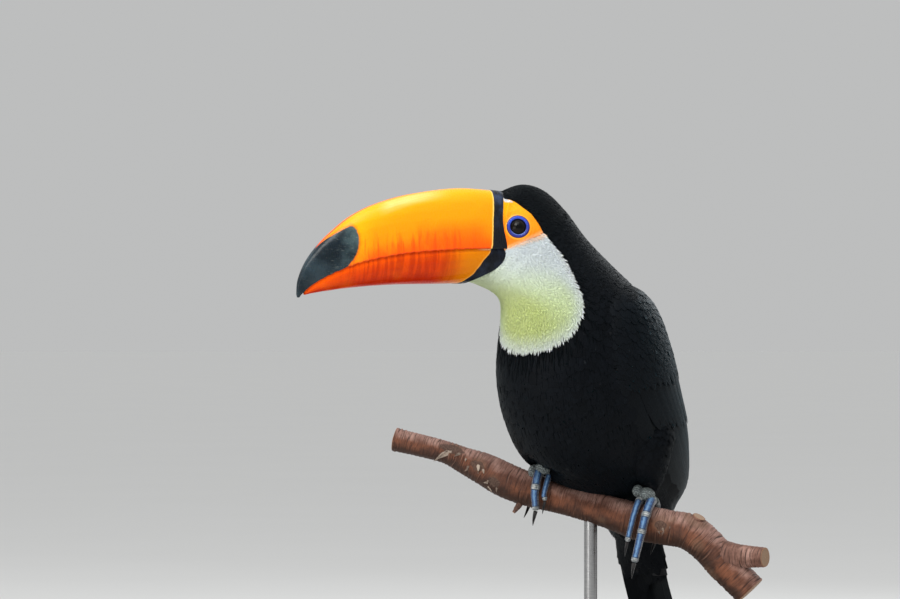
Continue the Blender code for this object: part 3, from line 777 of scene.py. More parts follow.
class EyeFrame:
    """An eye's centre, its outward axis, the directions across it, and the face's height over them."""

    def __init__(self, side):
        self.centre = centre_of("eye_L" if side > 0 else "eye_R")
        self.centre = self.centre + head_placed(EYE_SHIFT) - head_placed((0, 0, 0))
        points, normals = body_sheet.points, body_sheet.normals
        distance = size_of(points - self.centre)
        # The axis is the mean outward direction of the face over the eye.
        over = (distance < 14 * MM) & (body_sheet.u[:, None] > 12)
        self.axis = unit(normals[over].mean(0))
        self.up = unit(np.array((0, 0, 1.0)) - self.axis * self.axis[2])
        self.right = np.cross(self.up, self.axis)
        offset = points[over] - self.centre
        x, y, h = offset @ self.right / MM, offset @ self.up / MM, offset @ self.axis / MM
        self.fit = np.linalg.lstsq(self.terms(x, y), h, rcond=None)[0]
        face = float(self.height(np.zeros(1), np.zeros(1))[0])
        # The ball comes forward until the lids' plane crosses it at the opening's radius.
        self.out = face - LID_DROP - math.sqrt(BALL_RADIUS**2 - OPENING**2)

    @staticmethod
    def terms(x, y):
        return np.stack([x**i * y**j for i in range(4) for j in range(4 - i)], -1)

    def height(self, x, y):
        """The face's height over the eye's centre, in millimetres."""
        return self.terms(np.asarray(x, float), np.asarray(y, float)) @ self.fit

    def spot(self, x, y, h):
        x, y, h = (v[..., None] for v in matched(x, y, h))
        return self.centre + (self.right * x + self.up * y + self.axis * h) * MM

    def reach(self, points):
        """Distance from the eye's axis, in millimetres, for points on the eye's side."""
        offset = points - self.centre
        flat = offset - (offset @ self.axis)[..., None] * self.axis
        return np.where(offset @ self.axis > 0, size_of(flat) / MM, 99.0)


eyes = {"L": EyeFrame(1), "R": EyeFrame(-1)}


# ---- The skin: one surface for the head, neck, trunk, wings' flesh, thighs and tail root, inside the coat.

def coat_depth(t):
    """How deep the coat lies over the skin, in millimetres."""
    return np.interp(t, (2, 6, 9, 11, 13, 15), (3.2, 3.4, 2.8, 2.0, 1.3, 0.9))


SKIN_MARK_BACK = -0.35


def bare(t, a):
    """1 on the bare skin round the eye, 0 under feathers."""
    return smooth_step(-1.2, 0.4, patch_depth(t, a))


def skin_look():
    look = Look("skin")
    place = look.place()
    patch, reach, high, low, fleck = look.numbers("patch", "reach", "high", "low", "fleck")
    grain, broad, pores = look.noise(place, 900, 4), look.noise(place, 160, 3), look.cells(1500)
    orange = look.painted(
        look.mix((1.0, 0.26, 0.0), (1.0, 0.35, 0.002), broad),
        # It is yellower towards the top and against the eye's ring, and pink where it meets the bib.
        ((1.0, 0.46, 0.0), high.step(0.1, 1.0, 0.85)),
        ((1.0, 0.16, 0.0), high.step(0.0, -0.9, 0.75)),
        ((1.0, 0.40, 0.01), reach.step(10.6, 9.2)),
        ((0.96, 0.40, 0.15), low.step(0.1, 0.9)),
        ((0.72, 0.16, 0.004), pores.step(0.30, 0.62, 0.35)),
        ((0.62, 0.64, 0.65), fleck.step(-0.8, 0.6)),
    )
    # Under the feathers, away from the bare skin, the skin's colour is darkened as painted shade.
    under = look.mix(look.colour("plumage"), (0.0, 0.0, 0.0), patch.step(-2.5, -5.0, 0.35))
    return look.set(
        Base_Color=look.mix(under, orange, patch.step(-0.9, -0.1)),
        Roughness=0.48,
        Normal=look.bump(pores * 0.6 + grain * 0.7, 0.00022, 0.55),
        Specular_IOR_Level=0.22,
        Subsurface_Weight=0.05,
        Subsurface_Radius=(0.0012, 0.0005, 0.0002),
    )


# The height of the bare face's middle.
FACE_MIDDLE = 201


def make_skin():
    t = np.concatenate((np.linspace(TRUNK_START, 11.6, 66)[:-1], np.linspace(11.6, HEAD_END, 150)))
    a = whole_turn(256)
    tt, aa = grid(t, a)
    points, normals, _, _ = body_sheet.look(tt, aa)
    depth = coat_depth(tt) * (1 - bare(tt, aa)) + 0.1
    reach = np.minimum(eyes["L"].reach(points), eyes["R"].reach(points))
    depth = depth + 3.2 * (1 - smooth_step(7.4, 9.6, reach))
    # Soft folds ring the eye, and the bare skin swells a little between them.
    folds = 0.10 * np.sin(reach * 2.1) * smooth_step(9.4, 10.2, reach) * (1 - smooth_step(11, 15, reach))
    rise = wing_rise(tt, aa) - depth + (folds + 0.4 * smooth_step(14.6, 14.95, tt)) * bare(tt, aa)
    points = behind_feet(points + normals * (rise * MM)[..., None])
    # The last rows turn in behind the bill's base.
    inward = unit(points[-1].mean(0) - points[-1])
    rim = [points[-1] + inward * d * MM for d in (1.5, 4.0, 9.0)]
    points = np.concatenate((points, np.array(rim)))

    def extended(values):
        return np.concatenate((values, np.repeat(values[-1:], 3, 0)))

    flat = unturned_body(tt, aa)
    low = smooth_step(1.5, -4.0, flat[..., 2] - np.interp(flat[..., 0], (53, 82), (198.5, 185.5)))
    # The skin's own white stops short of the bib's feathers.
    inside = bib_depth(tt, aa)
    marking = plumage(tt + SKIN_MARK_BACK * (inside < 6), aa)
    marking[(inside > -1) & (inside < 1.8) & (patch_depth(tt, aa) < -3)] = BLACK
    layers = {
        "patch": extended(patch_depth(tt, aa)),
        "reach": extended(reach),
        "low": extended(low),
        "high": extended((flat[..., 2] - FACE_MIDDLE) / 14),
        "fleck": extended(fleck_depth(flat[..., 0] - BILL_BASE_X, flat[..., 2] - MOUTH_Z)),
        "plumage": extended(marking),
    }
    return tubes("skin", (points, layers))


def flesh_tube(name, spot, shares, depth, colour):
    """A closed tube of flesh inside a surface of the coat, which spot gives over a share and an angle."""
    share, angle = grid(shares, whole_turn(72))
    points = spot(share, angle)
    middle = points.mean(1, keepdims=True)
    offset = points - middle
    reach = np.linalg.norm(offset, axis=-1, keepdims=True)
    points = middle + offset * (1 - depth * MM / reach)
    marks = {key: np.full(share.shape, value) for key, value in FAR_FROM_FACE.items()}
    tube = tubes(name, (points, {**marks, "plumage": colour(share, angle)}))
    made = bmesh.new()
    made.from_mesh(tube.data)
    bmesh.ops.recalc_face_normals(made, faces=made.faces)
    made.to_mesh(tube.data)
    made.free()
    return tube


def values_of(items, key, width, kind=np.float32):
    """The numbers of all of a mesh's points, corners or marks, as rows."""
    values = np.zeros(len(items) * width, kind)
    items.foreach_get(key, values)
    return values.reshape(len(items), width)


def unite(piece, others):
    """Joins closed pieces into one surface by a Boolean union. Each place keeps the nearest point's marks."""
    sources = [made.data for made in (piece, *others)]
    old = np.concatenate([values_of(mesh.vertices, "co", 3) for mesh in sources])
    kinds = {"plumage": ("color", 4), **{key: ("value", 1) for key in FAR_FROM_FACE}}
    marks = {
        key: np.concatenate([values_of(mesh.attributes[key].data, *kind) for mesh in sources])
        for key, kind in kinds.items()
    }
    for other in others:
        modifier = piece.modifiers.new("union", "BOOLEAN")
        modifier.operation, modifier.solver, modifier.object = "UNION", "EXACT", other
    graph = bpy.context.evaluated_depsgraph_get()
    united = bpy.data.meshes.new_from_object(piece.evaluated_get(graph))
    piece.modifiers.clear()
    piece.data = united
    for other in others:
        bpy.data.objects.remove(other)
    tree = KDTree(len(old))
    for index, point in enumerate(old):
        tree.insert(point, index)
    tree.balance()
    nearest = [tree.find(point)[1] for point in values_of(united.vertices, "co", 3)]
    for key, (field, _) in kinds.items():
        united.attributes[key].data.foreach_set(field, marks[key][nearest].ravel())
    united.shade_smooth()


def black_flesh(share, _):
    return np.ones((*share.shape, 3)) * BLACK


def tail_root_colour(share, angle):
    rump = smooth_step(0.6, 0.85, np.cos(angle)) * smooth_step(36, 30, share)
    return mix(black_flesh(share, angle), RUMP_WHITE, rump)


# The skin's marks on its face, where there is no face.
FAR_FROM_FACE = {"patch": -9.0, "reach": 99.0, "low": 0.0, "high": 0.0, "fleck": -9.0}

skin = make_skin()
flesh = [
    flesh_tube("thigh_" + letter, tube_spot(thigh_path(letter)), np.linspace(0, 1, 60), 1.8, black_flesh)
    for letter in "LR"
]
flesh.append(flesh_tube("tail_root", tail_root_spot, np.linspace(-16, 42, 60), 2.2, tail_root_colour))
unite(skin, flesh)
finish(skin, skin_look(), "face_skin", "trunk", "neck", "head", "wing_L", "wing_R", "thigh_L", "thigh_R")


# ---- The eyeballs and the blue rings round them.

def eyeball_look():
    look = Look("eyeball")
    [reach] = look.numbers("reach")
    iris = look.painted(
        (0.002, 0.0015, 0.0012),
        ((0.006, 0.003, 0.002), look.noise(look.uv("spokes"), 1.0, 4).step(0.35, 0.7)),
        ((0.002, 0.002, 0.002), reach.step(4.4, 5.6)),
    )
    return look.set(
        Base_Color=look.mix((0.0015, 0.0015, 0.0018), iris, reach.step(2.5, 2.9)),
        Roughness=0.03,
        Specular_IOR_Level=0.15,
        Normal=look.bump(look.noise(look.place(), 2500, 2), 0.00001, 0.1),
    )


def make_eyeball(letter):
    eye = eyes[letter]
    polar = np.concatenate((np.linspace(0.02, 1.2, 34), np.linspace(1.2, math.pi - 0.02, 16)[1:]))
    pp, gg = grid(polar, whole_turn(56))
    # The cornea bulges over the iris.
    radius = BALL_RADIUS + 0.55 * smooth_step(0.85, 0.0, pp)
    reach = radius * np.sin(pp)
    points = eye.spot(reach * np.cos(gg), reach * np.sin(gg), radius * np.cos(pp) + eye.out)
    ball = tubes("eyeball_" + letter, (points, {"reach": np.where(pp < 1.5, reach, 9.0)}))
    spokes = np.stack((np.sin(gg) * 9, reach * 0.6), -1).reshape(-1, 2)
    spokes = np.concatenate((spokes, np.zeros((2, 2))))
    index = values_of(ball.data.loops, "vertex_index", 1, np.int32).ravel()
    layer = ball.data.uv_layers.new(name="spokes")
    layer.data.foreach_set("uv", spokes[index].astype(np.float32).ravel())
    return ball


def ring_look():
    look = Look("eye_ring")
    reach, height, crease = look.numbers("reach", "height", "crease")
    grain = look.noise(look.place(), 1400, 3)
    # A pale blue rim of wet lid shows under the eye.
    lid = reach.step(6.0, 6.35) * reach.step(6.75, 6.4) * height.step(-0.35, -0.75, 0.7)
    colour = look.painted(
        (0.014, 0.022, 0.22),
        # The upper part is painted lighter, as painted light, and the creases darker, as painted shade.
        ((0.034, 0.085, 0.60), height.step(-0.6, 0.9)),
        ((0.02, 0.03, 0.28), crease.step(0.25, -0.6, 0.55)),
        ((0.012, 0.014, 0.09), reach.step(6.5, 6.0)),
        ((0.22, 0.34, 0.80), lid),
        ((0.010, 0.004, 0.030), reach.step(7.8, 8.4, 0.9)),
        ((1.0, 0.36, 0.01), reach.step(8.65, 9.0)),
        ((0.0, 0.0, 0.02), grain.step(0.5, 0.8, 0.25)),
    )
    bump = look.bump(grain, 0.00015, 0.4)
    return look.set(Base_Color=colour, Roughness=0.28, Normal=bump, Specular_IOR_Level=0.35)


# The ring's section: distance from the axis, and height over the face or over the ball.
RING_OUTLINE = (
    (5.2, -1.6), (5.6, -0.75), (5.85, -0.25), (6.1, 0.12), (6.5, 0.32), (7.0, 0.42), (7.6, 0.50), (8.1, 0.44),
    (8.6, 0.28), (9.1, 0.12), (9.7, -0.06), (10.4, -0.45),
)


def make_ring(letter):
    eye = eyes[letter]
    rows = rows_at(RING_OUTLINE, np.linspace(0, len(RING_OUTLINE) - 1, 46))
    angle = whole_turn(160)
    reach, gg = grid(rows[:, 0], angle)
    lift = np.repeat(rows[:, 1:], len(angle), 1)
    x, y = reach * np.cos(gg), reach * np.sin(gg)
    # Towards the eye the ring leaves the face's slope for the lids' even rim.
    rim = eye.out + math.sqrt(BALL_RADIUS**2 - OPENING**2) + 0.5
    level = mix(rim, eye.height(x, y), smooth_step(6.0, 8.6, reach))
    on_ring = smooth_step(5.9, 6.6, reach) * (1 - smooth_step(8.4, 9.2, reach))
    crease = np.sin(26 * gg + 2.2 * np.sin(3 * gg + 1) + reach) * 0.6
    crease = crease + np.sin(reach * 5.2 + 0.8 * np.sin(4 * gg)) * 0.7
    h = level + lift + crease * 0.07 * on_ring
    marks = {"reach": reach, "height": np.sin(gg), "crease": crease * on_ring}
    return tubes("eye_ring_" + letter, (eye.spot(x, y, h), marks), capped=False)


ball_look, blue_look = eyeball_look(), ring_look()
for letter in "LR":
    finish(make_eyeball(letter), ball_look, "eye", "eye_" + letter)
    finish(make_ring(letter), blue_look, "face_skin")


# ---- The bill.

# The tip's black spot in the head frame, and how far its upper edge keeps from the ridge along the bill.
SPOT = (
    (131, 22), (126.5, 16), (124.4, 9.4), (124.6, 3), (125.8, -2.5), (129.4, -9), (136, -17), (150, -30),
    (172, -50), (185, -30), (165, 8), (145, 26),
)
SPOT_RIDGE = ((120, 12), (126, 10.5), (133, 9), (142.8, 5.4), (150, 2.4), (156, -1), (175, -4))
# The front edge of the base's black band: height and distance from the culmen's base.
BAND_EDGE = (
    (-27, 44), (-25.2, 40.8), (-18.6, 33.3), (-8, 26.4), (-2, 21), (3.1, 19.7), (21.8, 18.3), (40.7, 15.1),
    (47, 14.0),
)


def bill_points(table, fullness, upper, t, share):
    """Head-frame points of half a bill's outer side: share 0 and 1 are its mouth lines and 0.5 its ridge."""
    t, share = matched(t, share)
    row = rows_at(table, t)
    v, side = np.sin(math.pi * share), np.cos(math.pi * share)
    x = row[..., 2] + (row[..., 0] - row[..., 2]) * v
    y = np.sign(side) * row[..., 4] * np.abs(side) ** fullness
    z = row[..., 3] + (row[..., 1] - row[..., 3]) * v
    bend = np.clip(1 - t, 0, 1)
    along_edge = MOUTH_SHARE * (1 - v) if upper else MOUTH_SHARE + (1 - MOUTH_SHARE) * v
    edge = rows_at(BILL_EDGE, along_edge * (len(BILL_EDGE) - 1))
    lift = (BILL_GAP if upper else -BILL_GAP) * (1 - v)
    x = x + (edge[..., 0] - BILL_BASE_X - BILL_SINK - x) * bend
    z = z + (edge[..., 1] - MOUTH_Z + lift - z) * bend
    return np.stack((x, y, z), -1)


# How deep the notches of the lower and the upper half's cutting edge are, in millimetres.
NOTCH_DEPTH = (0.18, 0.26)


def make_bill_half(name, table, fullness, upper, tip):
    stations = 210
    s = np.linspace(0, 1, stations)
    t = (len(table) - 1) * (s**1.15 * 0.55 + 0.45 * (1 - (1 - s) ** 1.8))
    # The points crowd towards the mouth lines and the ridge, where the section bends most.
    k = np.linspace(0, 1, 89)
    share = k - 0.055 * np.sin(2 * TURN * k) / 2
    tt, ss = grid(t, share)
    p = bill_points(table, fullness, upper, tt, ss)
    x, z = p[..., 0], p[..., 2]
    far = np.full(x.shape, 30.0)
    steps = size_of(np.diff(p, axis=1))
    girth = np.concatenate((np.zeros((stations, 1)), np.cumsum(steps, 1)), 1)
    from_ridge = np.abs(girth - girth[:, [len(share) // 2]])
    from_mouth = np.minimum(girth, girth[:, -1:] - girth)
    band = np.interp(z, *zip(*BAND_EDGE)) - x
    if upper:
        strip = from_ridge - np.interp(x, *zip(*SPOT_RIDGE))
        # A soft minimum rounds the spot's corners.
        spot = -1.5 * np.logaddexp(-inside_by(x, z, SPOT) / 1.5, -strip / 1.5)
        back, fleck = x - np.interp(z, *zip(*BACK_EDGE)), fleck_depth(x, z)
    else:
        spot, back, fleck = -far, far, np.full(x.shape, -9.0)
    outward = unit(np.cross(np.gradient(p, axis=0), np.gradient(p, axis=1)))
    outward *= np.sign((outward * (p - p.mean(1, keepdims=True))).sum())
    swell = 0.45 * smooth_step(-0.4, 0.8, band) * smooth_step(-0.4, 0.3, back)
    # The cutting edge is notched and the sides are faintly ribbed.
    free = smooth_step(22, 40, x) * smooth_step(160, 140, x)
    notches = np.sin(x * 0.95 + 1.3 * np.sin(x * 0.21)) * smooth_step(2.4, 0.0, from_mouth) * free
    ribs = np.sin(from_mouth * 0.9 + 0.4 * np.sin(x * 0.05)) * 0.05 * free * smooth_step(3, 8, from_mouth)
    ridge = 0.25 * smooth_step(3.2, 0.0, from_ridge) * free if upper else 0.0
    p = p + outward * (swell + ribs + ridge)[..., None]
    p[..., 2] += notches * NOTCH_DEPTH[upper]
    if not upper:
        # The lower half's edge closes inside the upper's.
        tucked = smooth_step(3.0, 0.2, from_mouth)
        p[..., 1] *= 1 - 0.045 * tucked
        p[..., 2] += 1.1 * tucked
    # The mouth side: a shallow hollow between the two edges.
    m = np.linspace(0, 1, 9)[1:-1]
    left, right = p[:, :1], p[:, -1:]
    inner = right + (left - right) * m[None, :, None]
    hollow = np.minimum(1.6, 0.06 * np.abs(left[..., 1]) * 2)
    inner[..., 2] += (1 if upper else -1) * np.sin(math.pi * m)[None, :] * hollow
    ring = head_placed(np.concatenate((p, inner), 1))
    # Each mark over the half's outer side, and what it is on the mouth side.
    marks = {
        "along": (x, x.mean(1)[:, None]), "rise": (np.sin(math.pi * ss), 0.0), "band": (band, band[:, :1]),
        "spot": (spot, -30.0), "ridge": (from_ridge, 30.0), "mouth": (from_mouth, 0.0),
        "inside": (np.zeros_like(x), 1.0), "back": (back, 30.0), "fleck": (fleck, -9.0), "height": (z, 0.0),
    }
    # The last row draws in to the tip.
    point = head_placed(np.array(tip))
    rings = np.concatenate((ring, point + (ring[-1:] - point) * 0.45))
    for key, (outer, fill) in marks.items():
        values = np.concatenate((outer, np.ones((stations, len(m))) * fill), 1)
        marks[key] = np.concatenate((values, values[-1:]))
    return tubes(name, (rings, marks))


def bill_look(upper):
    look = Look("horn_upper" if upper else "horn_lower")
    place = look.place()
    along, rise, band, ridge, mouth = look.numbers("along", "rise", "band", "ridge", "mouth")
    blotch = look.noise(place, 55, 4)
    # Long fibres run with the bill, and short darker bars stand across it near the mouth.
    fibres = look.noise(look.join(along * 0.012, ridge * 0.35), 3.0, 5, 0.6)
    bars = look.noise(look.join(along * 0.24, mouth * 0.02), 1.0, 3, 0.55, 0.6)
    if upper:
        spot, back, height, fleck = look.numbers("spot", "back", "height", "fleck")
        deep = mouth.step(26.0, 8.0) * along.step(86.0, 68.0) * along.step(18.0, 32.0, 0.65)
        # A painted highlight lies on the shoulder over the spot, in long pale streaks.
        pale = ridge.step(3.5, 8.5) * ridge.step(18.0, 11.0) * along.step(46.0, 78.0)
        pale = pale * along.step(110.0, 96.0) * fibres.step(0.30, 0.62, 0.85, 0.45)
        streak = bars.step(0.52, 0.64) * mouth.step(23.0, 5.0) * along.step(26.0, 50.0, 0.72)
        colour = look.painted(
            (1.0, 0.11, 0.0),
            ((1.0, 0.27, 0.0), mouth.step(0.0, 14.0)),
            ((1.0, 0.31, 0.0), mouth.step(10.0, 27.0)),
            ((1.0, 0.105, 0.0), deep),
            ((1.0, 0.41, 0.0), ridge.step(26.0, 8.0)),
            # It is yellowest round the spot, and deepens to the tip.
            ((1.0, 0.44, 0.0), spot.step(-14.0, -3.0, 0.4)),
            ((1.0, 0.22, 0.0), along.step(118.0, 150.0, 0.75)),
            # The pale streaks here are the painted highlight.
            ((1.0, 0.62, 0.20), pale),
            ((0.86, 0.07, 0.001), streak),
            # The ridge's red line, and the mouth's edge.
            ((0.85, 0.045, 0.02), ridge.step(2.6, 0.9) * along.step(48.0, 84.0, 0.8)),
            ((0.72, 0.05, 0.002), mouth.step(1.5, 0.3, 0.7)),
        )
    else:
        streak = bars.step(0.42, 0.62) * along.step(38.0, 60.0, 0.5) * along.step(150.0, 120.0)
        colour = look.painted(
            (0.84, 0.085, 0.0),
            ((0.70, 0.050, 0.0), mouth.step(1.0, 9.0)),
            ((0.40, 0.012, 0.0), rise.step(0.55, 0.93, 0.9)),
            ((0.72, 0.22, 0.0), along.step(66.0, 34.0, 0.9)),
            ((0.36, 0.010, 0.0), streak),
            # A pale line along the edge at the gape is a painted highlight.
            ((0.85, 0.62, 0.32), mouth.step(1.5, 0.9) * along.step(33.0, 24.0, 0.8)),
        )
    ragged = (look.noise(place, 420, 3) - 0.5) * 1.6
    # The black band carries a painted slate-blue sheen. On the upper half it grows towards the ridge.
    painted_band_sheen = look.painted(
        (0.006, 0.008, 0.013), ((0.035, 0.052, 0.10), look.noise(place, 130, 4).step(0.35, 0.7))
    )
    painted_band_sheen = look.mix((0.006, 0.007, 0.010), painted_band_sheen, rise.step(0.25, 0.85) if upper else 0.3)
    colour = look.painted(
        colour,
        ((1.0, 0.40, 0.0) if upper else (0.95, 0.16, 0.0), blotch.step(0.52, 0.75, 0.25)),
        ((0.55, 0.06, 0.0), fibres.step(0.56, 0.78, 0.30)),
        # A pale line edges the black band.
        ((0.92, 0.66, 0.16), (band + ragged * 0.3).step(-1.3, -0.5, 0.8 if upper else 0.25)),
        # The band, with its painted sheen.
        (painted_band_sheen, (band + ragged * 0.35).step(-0.25, 0.25)),
    )
    if upper:
        # Behind the band the face's bare skin and the forehead's black run on to the horn.
        face = look.painted(
            (1.0, 0.27, 0.003),
            ((1.0, 0.46, 0.0), height.step(17.0, 31.0, 0.85)),
            ((0.006, 0.007, 0.009), height.step(37.6, 38.6)),
            ((0.62, 0.64, 0.65), fleck.step(-0.8, 0.6)),
        )
        # The spot's rear is rubbed paler and scratched.
        scratches = look.noise(look.scaled(place, (240, 240, 1100)), 1.0, 4, 0.65)
        black = look.painted(
            (0.006, 0.012, 0.017),
            ((0.026, 0.044, 0.056), blotch.step(0.35, 0.70)),
            ((0.060, 0.098, 0.104), along.step(142.0, 128.0) * blotch.step(0.40, 0.62)),
            ((0.17, 0.19, 0.18), scratches.step(0.56, 0.72) * along.step(158.0, 130.0, 0.8, 0.15)),
        )
        edge = spot + ragged
        colour = look.painted(
            look.mix(face, colour, back.step(-0.25, 0.25)),
            ((0.55, 0.06, 0.002), edge.step(-2.6, -0.2, 0.5)),
            (black, edge.step(-0.5, 0.5)),
        )
    [inside] = look.numbers("inside")
    wear = look.noise(look.scaled(place, (900, 900, 300)), 1.0, 4, 0.65)
    return look.set(
        # The mouth side between the halves is painted dark, as painted shade.
        Base_Color=look.mix(colour, (0.10, 0.012, 0.004), inside),
        Roughness=wear.step(0.30, 0.75, 0.42, 0.22),
        Normal=look.bump(fibres * 0.8 + wear * 0.35 + blotch * 0.9, 0.0003, 0.35),
        Specular_IOR_Level=0.16 if upper else 0.10,
        Coat_Weight=0.10 if upper else 0.02,
        Coat_Roughness=0.22,
        Subsurface_Weight=0.06,
        Subsurface_Radius=(0.002, 0.0007, 0.0002),
    )


for name, table, fullness, upper, tip in (
    ("horn_upper", UPPER_BILL, UPPER_FULLNESS, True, UPPER_TIP),
    ("horn_lower", LOWER_BILL, LOWER_FULLNESS, False, LOWER_TIP),
):
    half = make_bill_half(name, table, fullness, upper, tip)
    finish(half, bill_look(upper), "bill_horn", "bill_upper" if upper else "bill_lower")


# ---- The coat: closed vanes and tufts laid along a sheet.

class VaneKind:
    """A feather's pattern: stations along it, its width at each, and places across it."""

    def __init__(self, stations, widths, across, camber, thick=0.0, ragged=0.0):
        self.stations, self.widths, self.across = (np.array(x, float) for x in (stations, widths, across))
        self.camber, self.thick, self.ragged = camber, thick, ragged
        rows, top = len(stations), len(across)
        # A thick vane has a keel along its underside, and a crisp rim.
        self.ring = top + 1 if thick else top
        quads = grid_faces(rows, self.ring)
        first = np.arange(self.ring)
        self.corners = np.concatenate((quads.ravel(), first[::-1], first + (rows - 1) * self.ring))
        self.totals = np.concatenate((np.full(len(quads), 4), (self.ring, self.ring)))
        self.points = rows * self.ring
        self.rim = np.zeros((rows, self.ring), bool)
        if thick:
            self.rim[:, (0, top - 1)] = True
            self.rim[-1] = True


SILK = VaneKind((0, 0.4, 0.78, 1), (0.45, 1.0, 0.75, 0.08), (-1, 0, 1), 0.16)
BLADE = VaneKind((0, 0.5, 1), (0.5, 1.0, 0.10), (-1, 0, 1), 0.5)
CONTOUR = VaneKind(
    (0, 0.22, 0.48, 0.72, 0.90, 1.0), (0.30, 0.80, 1.0, 0.97, 0.74, 0.36),
    (-1, -0.66, -0.33, 0, 0.33, 0.66, 1), 0.03, 0.16, ragged=0.03,
)
COVERT = VaneKind(
    (0, 0.18, 0.42, 0.66, 0.84, 0.95, 1.0), (0.30, 0.76, 1.0, 1.0, 0.84, 0.56, 0.26),
    (-1, -0.72, -0.4, -0.08, 0, 0.08, 0.4, 0.72, 1), 0.06, 0.34, ragged=0.02,
)
FLIGHT_RUN = np.linspace(0, 0.86, 15)
FLIGHT = VaneKind(
    (*FLIGHT_RUN, 0.92, 0.96, 0.985, 1.0),
    (*np.interp(FLIGHT_RUN, (0, 0.15, 0.5, 0.86), (0.35, 0.8, 1.0, 0.97)), 0.86, 0.68, 0.46, 0.20),
    (-1, -0.8, -0.5, -0.2, -0.05, 0, 0.05, 0.2, 0.5, 0.8, 1), 0.05, 0.5, ragged=0.006,
)


def solve_in_sheet(way, along, across):
    """How far u and v change when a point moves along a direction on a sheet, for one metre."""
    aa, ab, bb = (along * along).sum(-1), (along * across).sum(-1), (across * across).sum(-1)
    wa, wb = (way * along).sum(-1), (way * across).sum(-1)
    scale = np.maximum(aa * bb - ab * ab, 1e-18)
    return (bb * wa - ab * wb) / scale, (aa * wb - ab * wa) / scale


# Each sheet's room on the OFBake map: left, breadth, bottom, height.
BODY_ROOM, FOREHEAD_ROOM = (0.02, 0.7, 0.02, 0.96), (0.74, 0.1, 0.02, 0.1)
WING_ROOM, THIGH_ROOM = (0.02, 0.3, 0.5, 0.4), (0.35, 0.2, 0.02, 0.4)
TAIL_ROOM, ROOT_ROOM = (0.35, 0.2, 0.5, 0.4), (0.6, 0.3, 0.5, 0.4)


class Coat:
    """Feathers of one or more kinds on their sheets, gathered into one piece."""

    def __init__(self):
        self.batches = []

    def lay(
        self, sheet, kind, u, v, length, width, root, tip, colour, rise=None, turn=0.0, sense=-1, tilt=0.0,
        curl=1.0, shade=0.12, room=BODY_ROOM, push=None,
    ):
        """Lays feathers at roots u, v, heading along the sheet's u.

        length and half width, and the heights of their roots and tips off the sheet, are in millimetres. rise
        adds a height that changes over the sheet. turn swings each feather, tilt lifts its one side, and
        curl bends it up towards the tip. shade is how much their tints differ, and push moves the points.
        """
        u, v = np.asarray(u, float), np.asarray(v, float)
        count, rows, top = len(u), len(kind.stations), len(kind.across)
        length, width, root, tip, turn, tilt = (
            np.broadcast_to(np.asarray(x, float), (count,)) for x in (length, width, root, tip, turn, tilt)
        )
        colour = np.broadcast_to(np.asarray(colour, float), (count, 3))
        tint = 1 + shade * rng.standard_normal(count)
        points = np.empty((count, rows, kind.ring, 3))
        uu, vv = u.copy(), v.copy()
        notch = kind.ragged * np.abs(rng.standard_normal((count, top))) * (1 + np.arange(top) % 2)
        for i, (s, wide) in enumerate(zip(kind.stations, kind.widths)):
            _, normal, along, across = sheet.look(uu, vv)
            ahead = unit(along) * sense
            aside = np.cross(normal, ahead)
            way = ahead * np.cos(turn)[:, None] + aside * np.sin(turn)[:, None]
            side_u, side_v = solve_in_sheet(np.cross(normal, way), along, across)
            way_u, way_v = solve_in_sheet(way, along, across)
            height = root + (tip - root) * s**curl
            for j in range(kind.ring):
                keel = j >= top
                q = 0.0 if keel else kind.across[j]
                back = 0.0 if keel or s < 0.7 else notch[:, j] * (s - 0.6) / 0.4
                reach = q * wide * width * MM
                spot_u = uu + side_u * reach - way_u * back * length * MM
                spot_v = vv + side_v * reach - way_v * back * length * MM
                p, n, _, _ = sheet.look(spot_u, spot_v)
                h = height + tilt * q * wide - kind.camber * width * q * q * wide
                if keel:
                    h = h - kind.thick * (0.35 + 0.65 * min(1.0, 1.6 * (1 - s)))
                if rise is not None:
                    h = h + rise(spot_u, spot_v)
                points[:, i, j] = p + n * (h * MM)[:, None]
            if i < rows - 1:
                forward = (kind.stations[i + 1] - s) * length * MM
                uu, vv = uu + way_u * forward, vv + way_v * forward
        if push is not None:
            points = push(points)
        colours = np.repeat(np.clip(colour * tint[:, None], 0, 1), kind.points, 0)
        # The maps: where each feather is baked, millimetres over it, and its width and length as shares.
        far = np.repeat(kind.stations, kind.ring)
        aside = np.tile(np.append(kind.across, np.zeros(kind.ring - top)), rows)
        aside = aside * np.repeat(kind.widths, kind.ring)
        across = (v - sheet.v[0]) % TURN if sheet.wraps else v - sheet.v[0]
        left, breadth, bottom, height = room
        bake_x = left + breadth * across / (sheet.v[-1] - sheet.v[0])
        bake_y = bottom + height * (u - sheet.u[0]) / (sheet.u[-1] - sheet.u[0])
        maps = np.broadcast_arrays(
            bake_x[:, None] + 0.0014 * aside, bake_y[:, None] + 0.0028 * (far - 0.5),
            aside * width[:, None] + 37.0 * rng.random(count)[:, None],
            far * length[:, None] + 53.0 * rng.random(count)[:, None],
            aside, far,
        )
        self.batches.append((kind, points.reshape(-1, 3), colours, np.stack(maps, -1).reshape(-1, 6)))
        return self

    def build(self, name):
        corners, totals, rims, maps, start = [], [], [], [], 0
        for kind, points, _, places in self.batches:
            count = len(points) // kind.points
            index = (kind.corners + (np.arange(count) * kind.points)[:, None]).ravel()
            corners.append(index + start)
            totals.append(np.tile(kind.totals, count))
            rims.append(np.tile(kind.rim.ravel(), count))
            maps.append(places[index])
            start += len(points)
        points, colours = (np.concatenate([batch[i] for batch in self.batches]) for i in (1, 2))
        corners, totals, rims, maps = (np.concatenate(values) for values in (corners, totals, rims, maps))
        maps = {"OFBake": maps[:, :2], "vane": maps[:, 2:4], "blank": maps[:, 4:]}
        made = new_mesh(name, points, corners, totals, {"plumage": colours}, maps)
        ends = values_of(made.data.edges, "vertices", 2, np.int32)
        made.data.edges.foreach_set("use_edge_sharp", rims[ends].all(1))
        return made


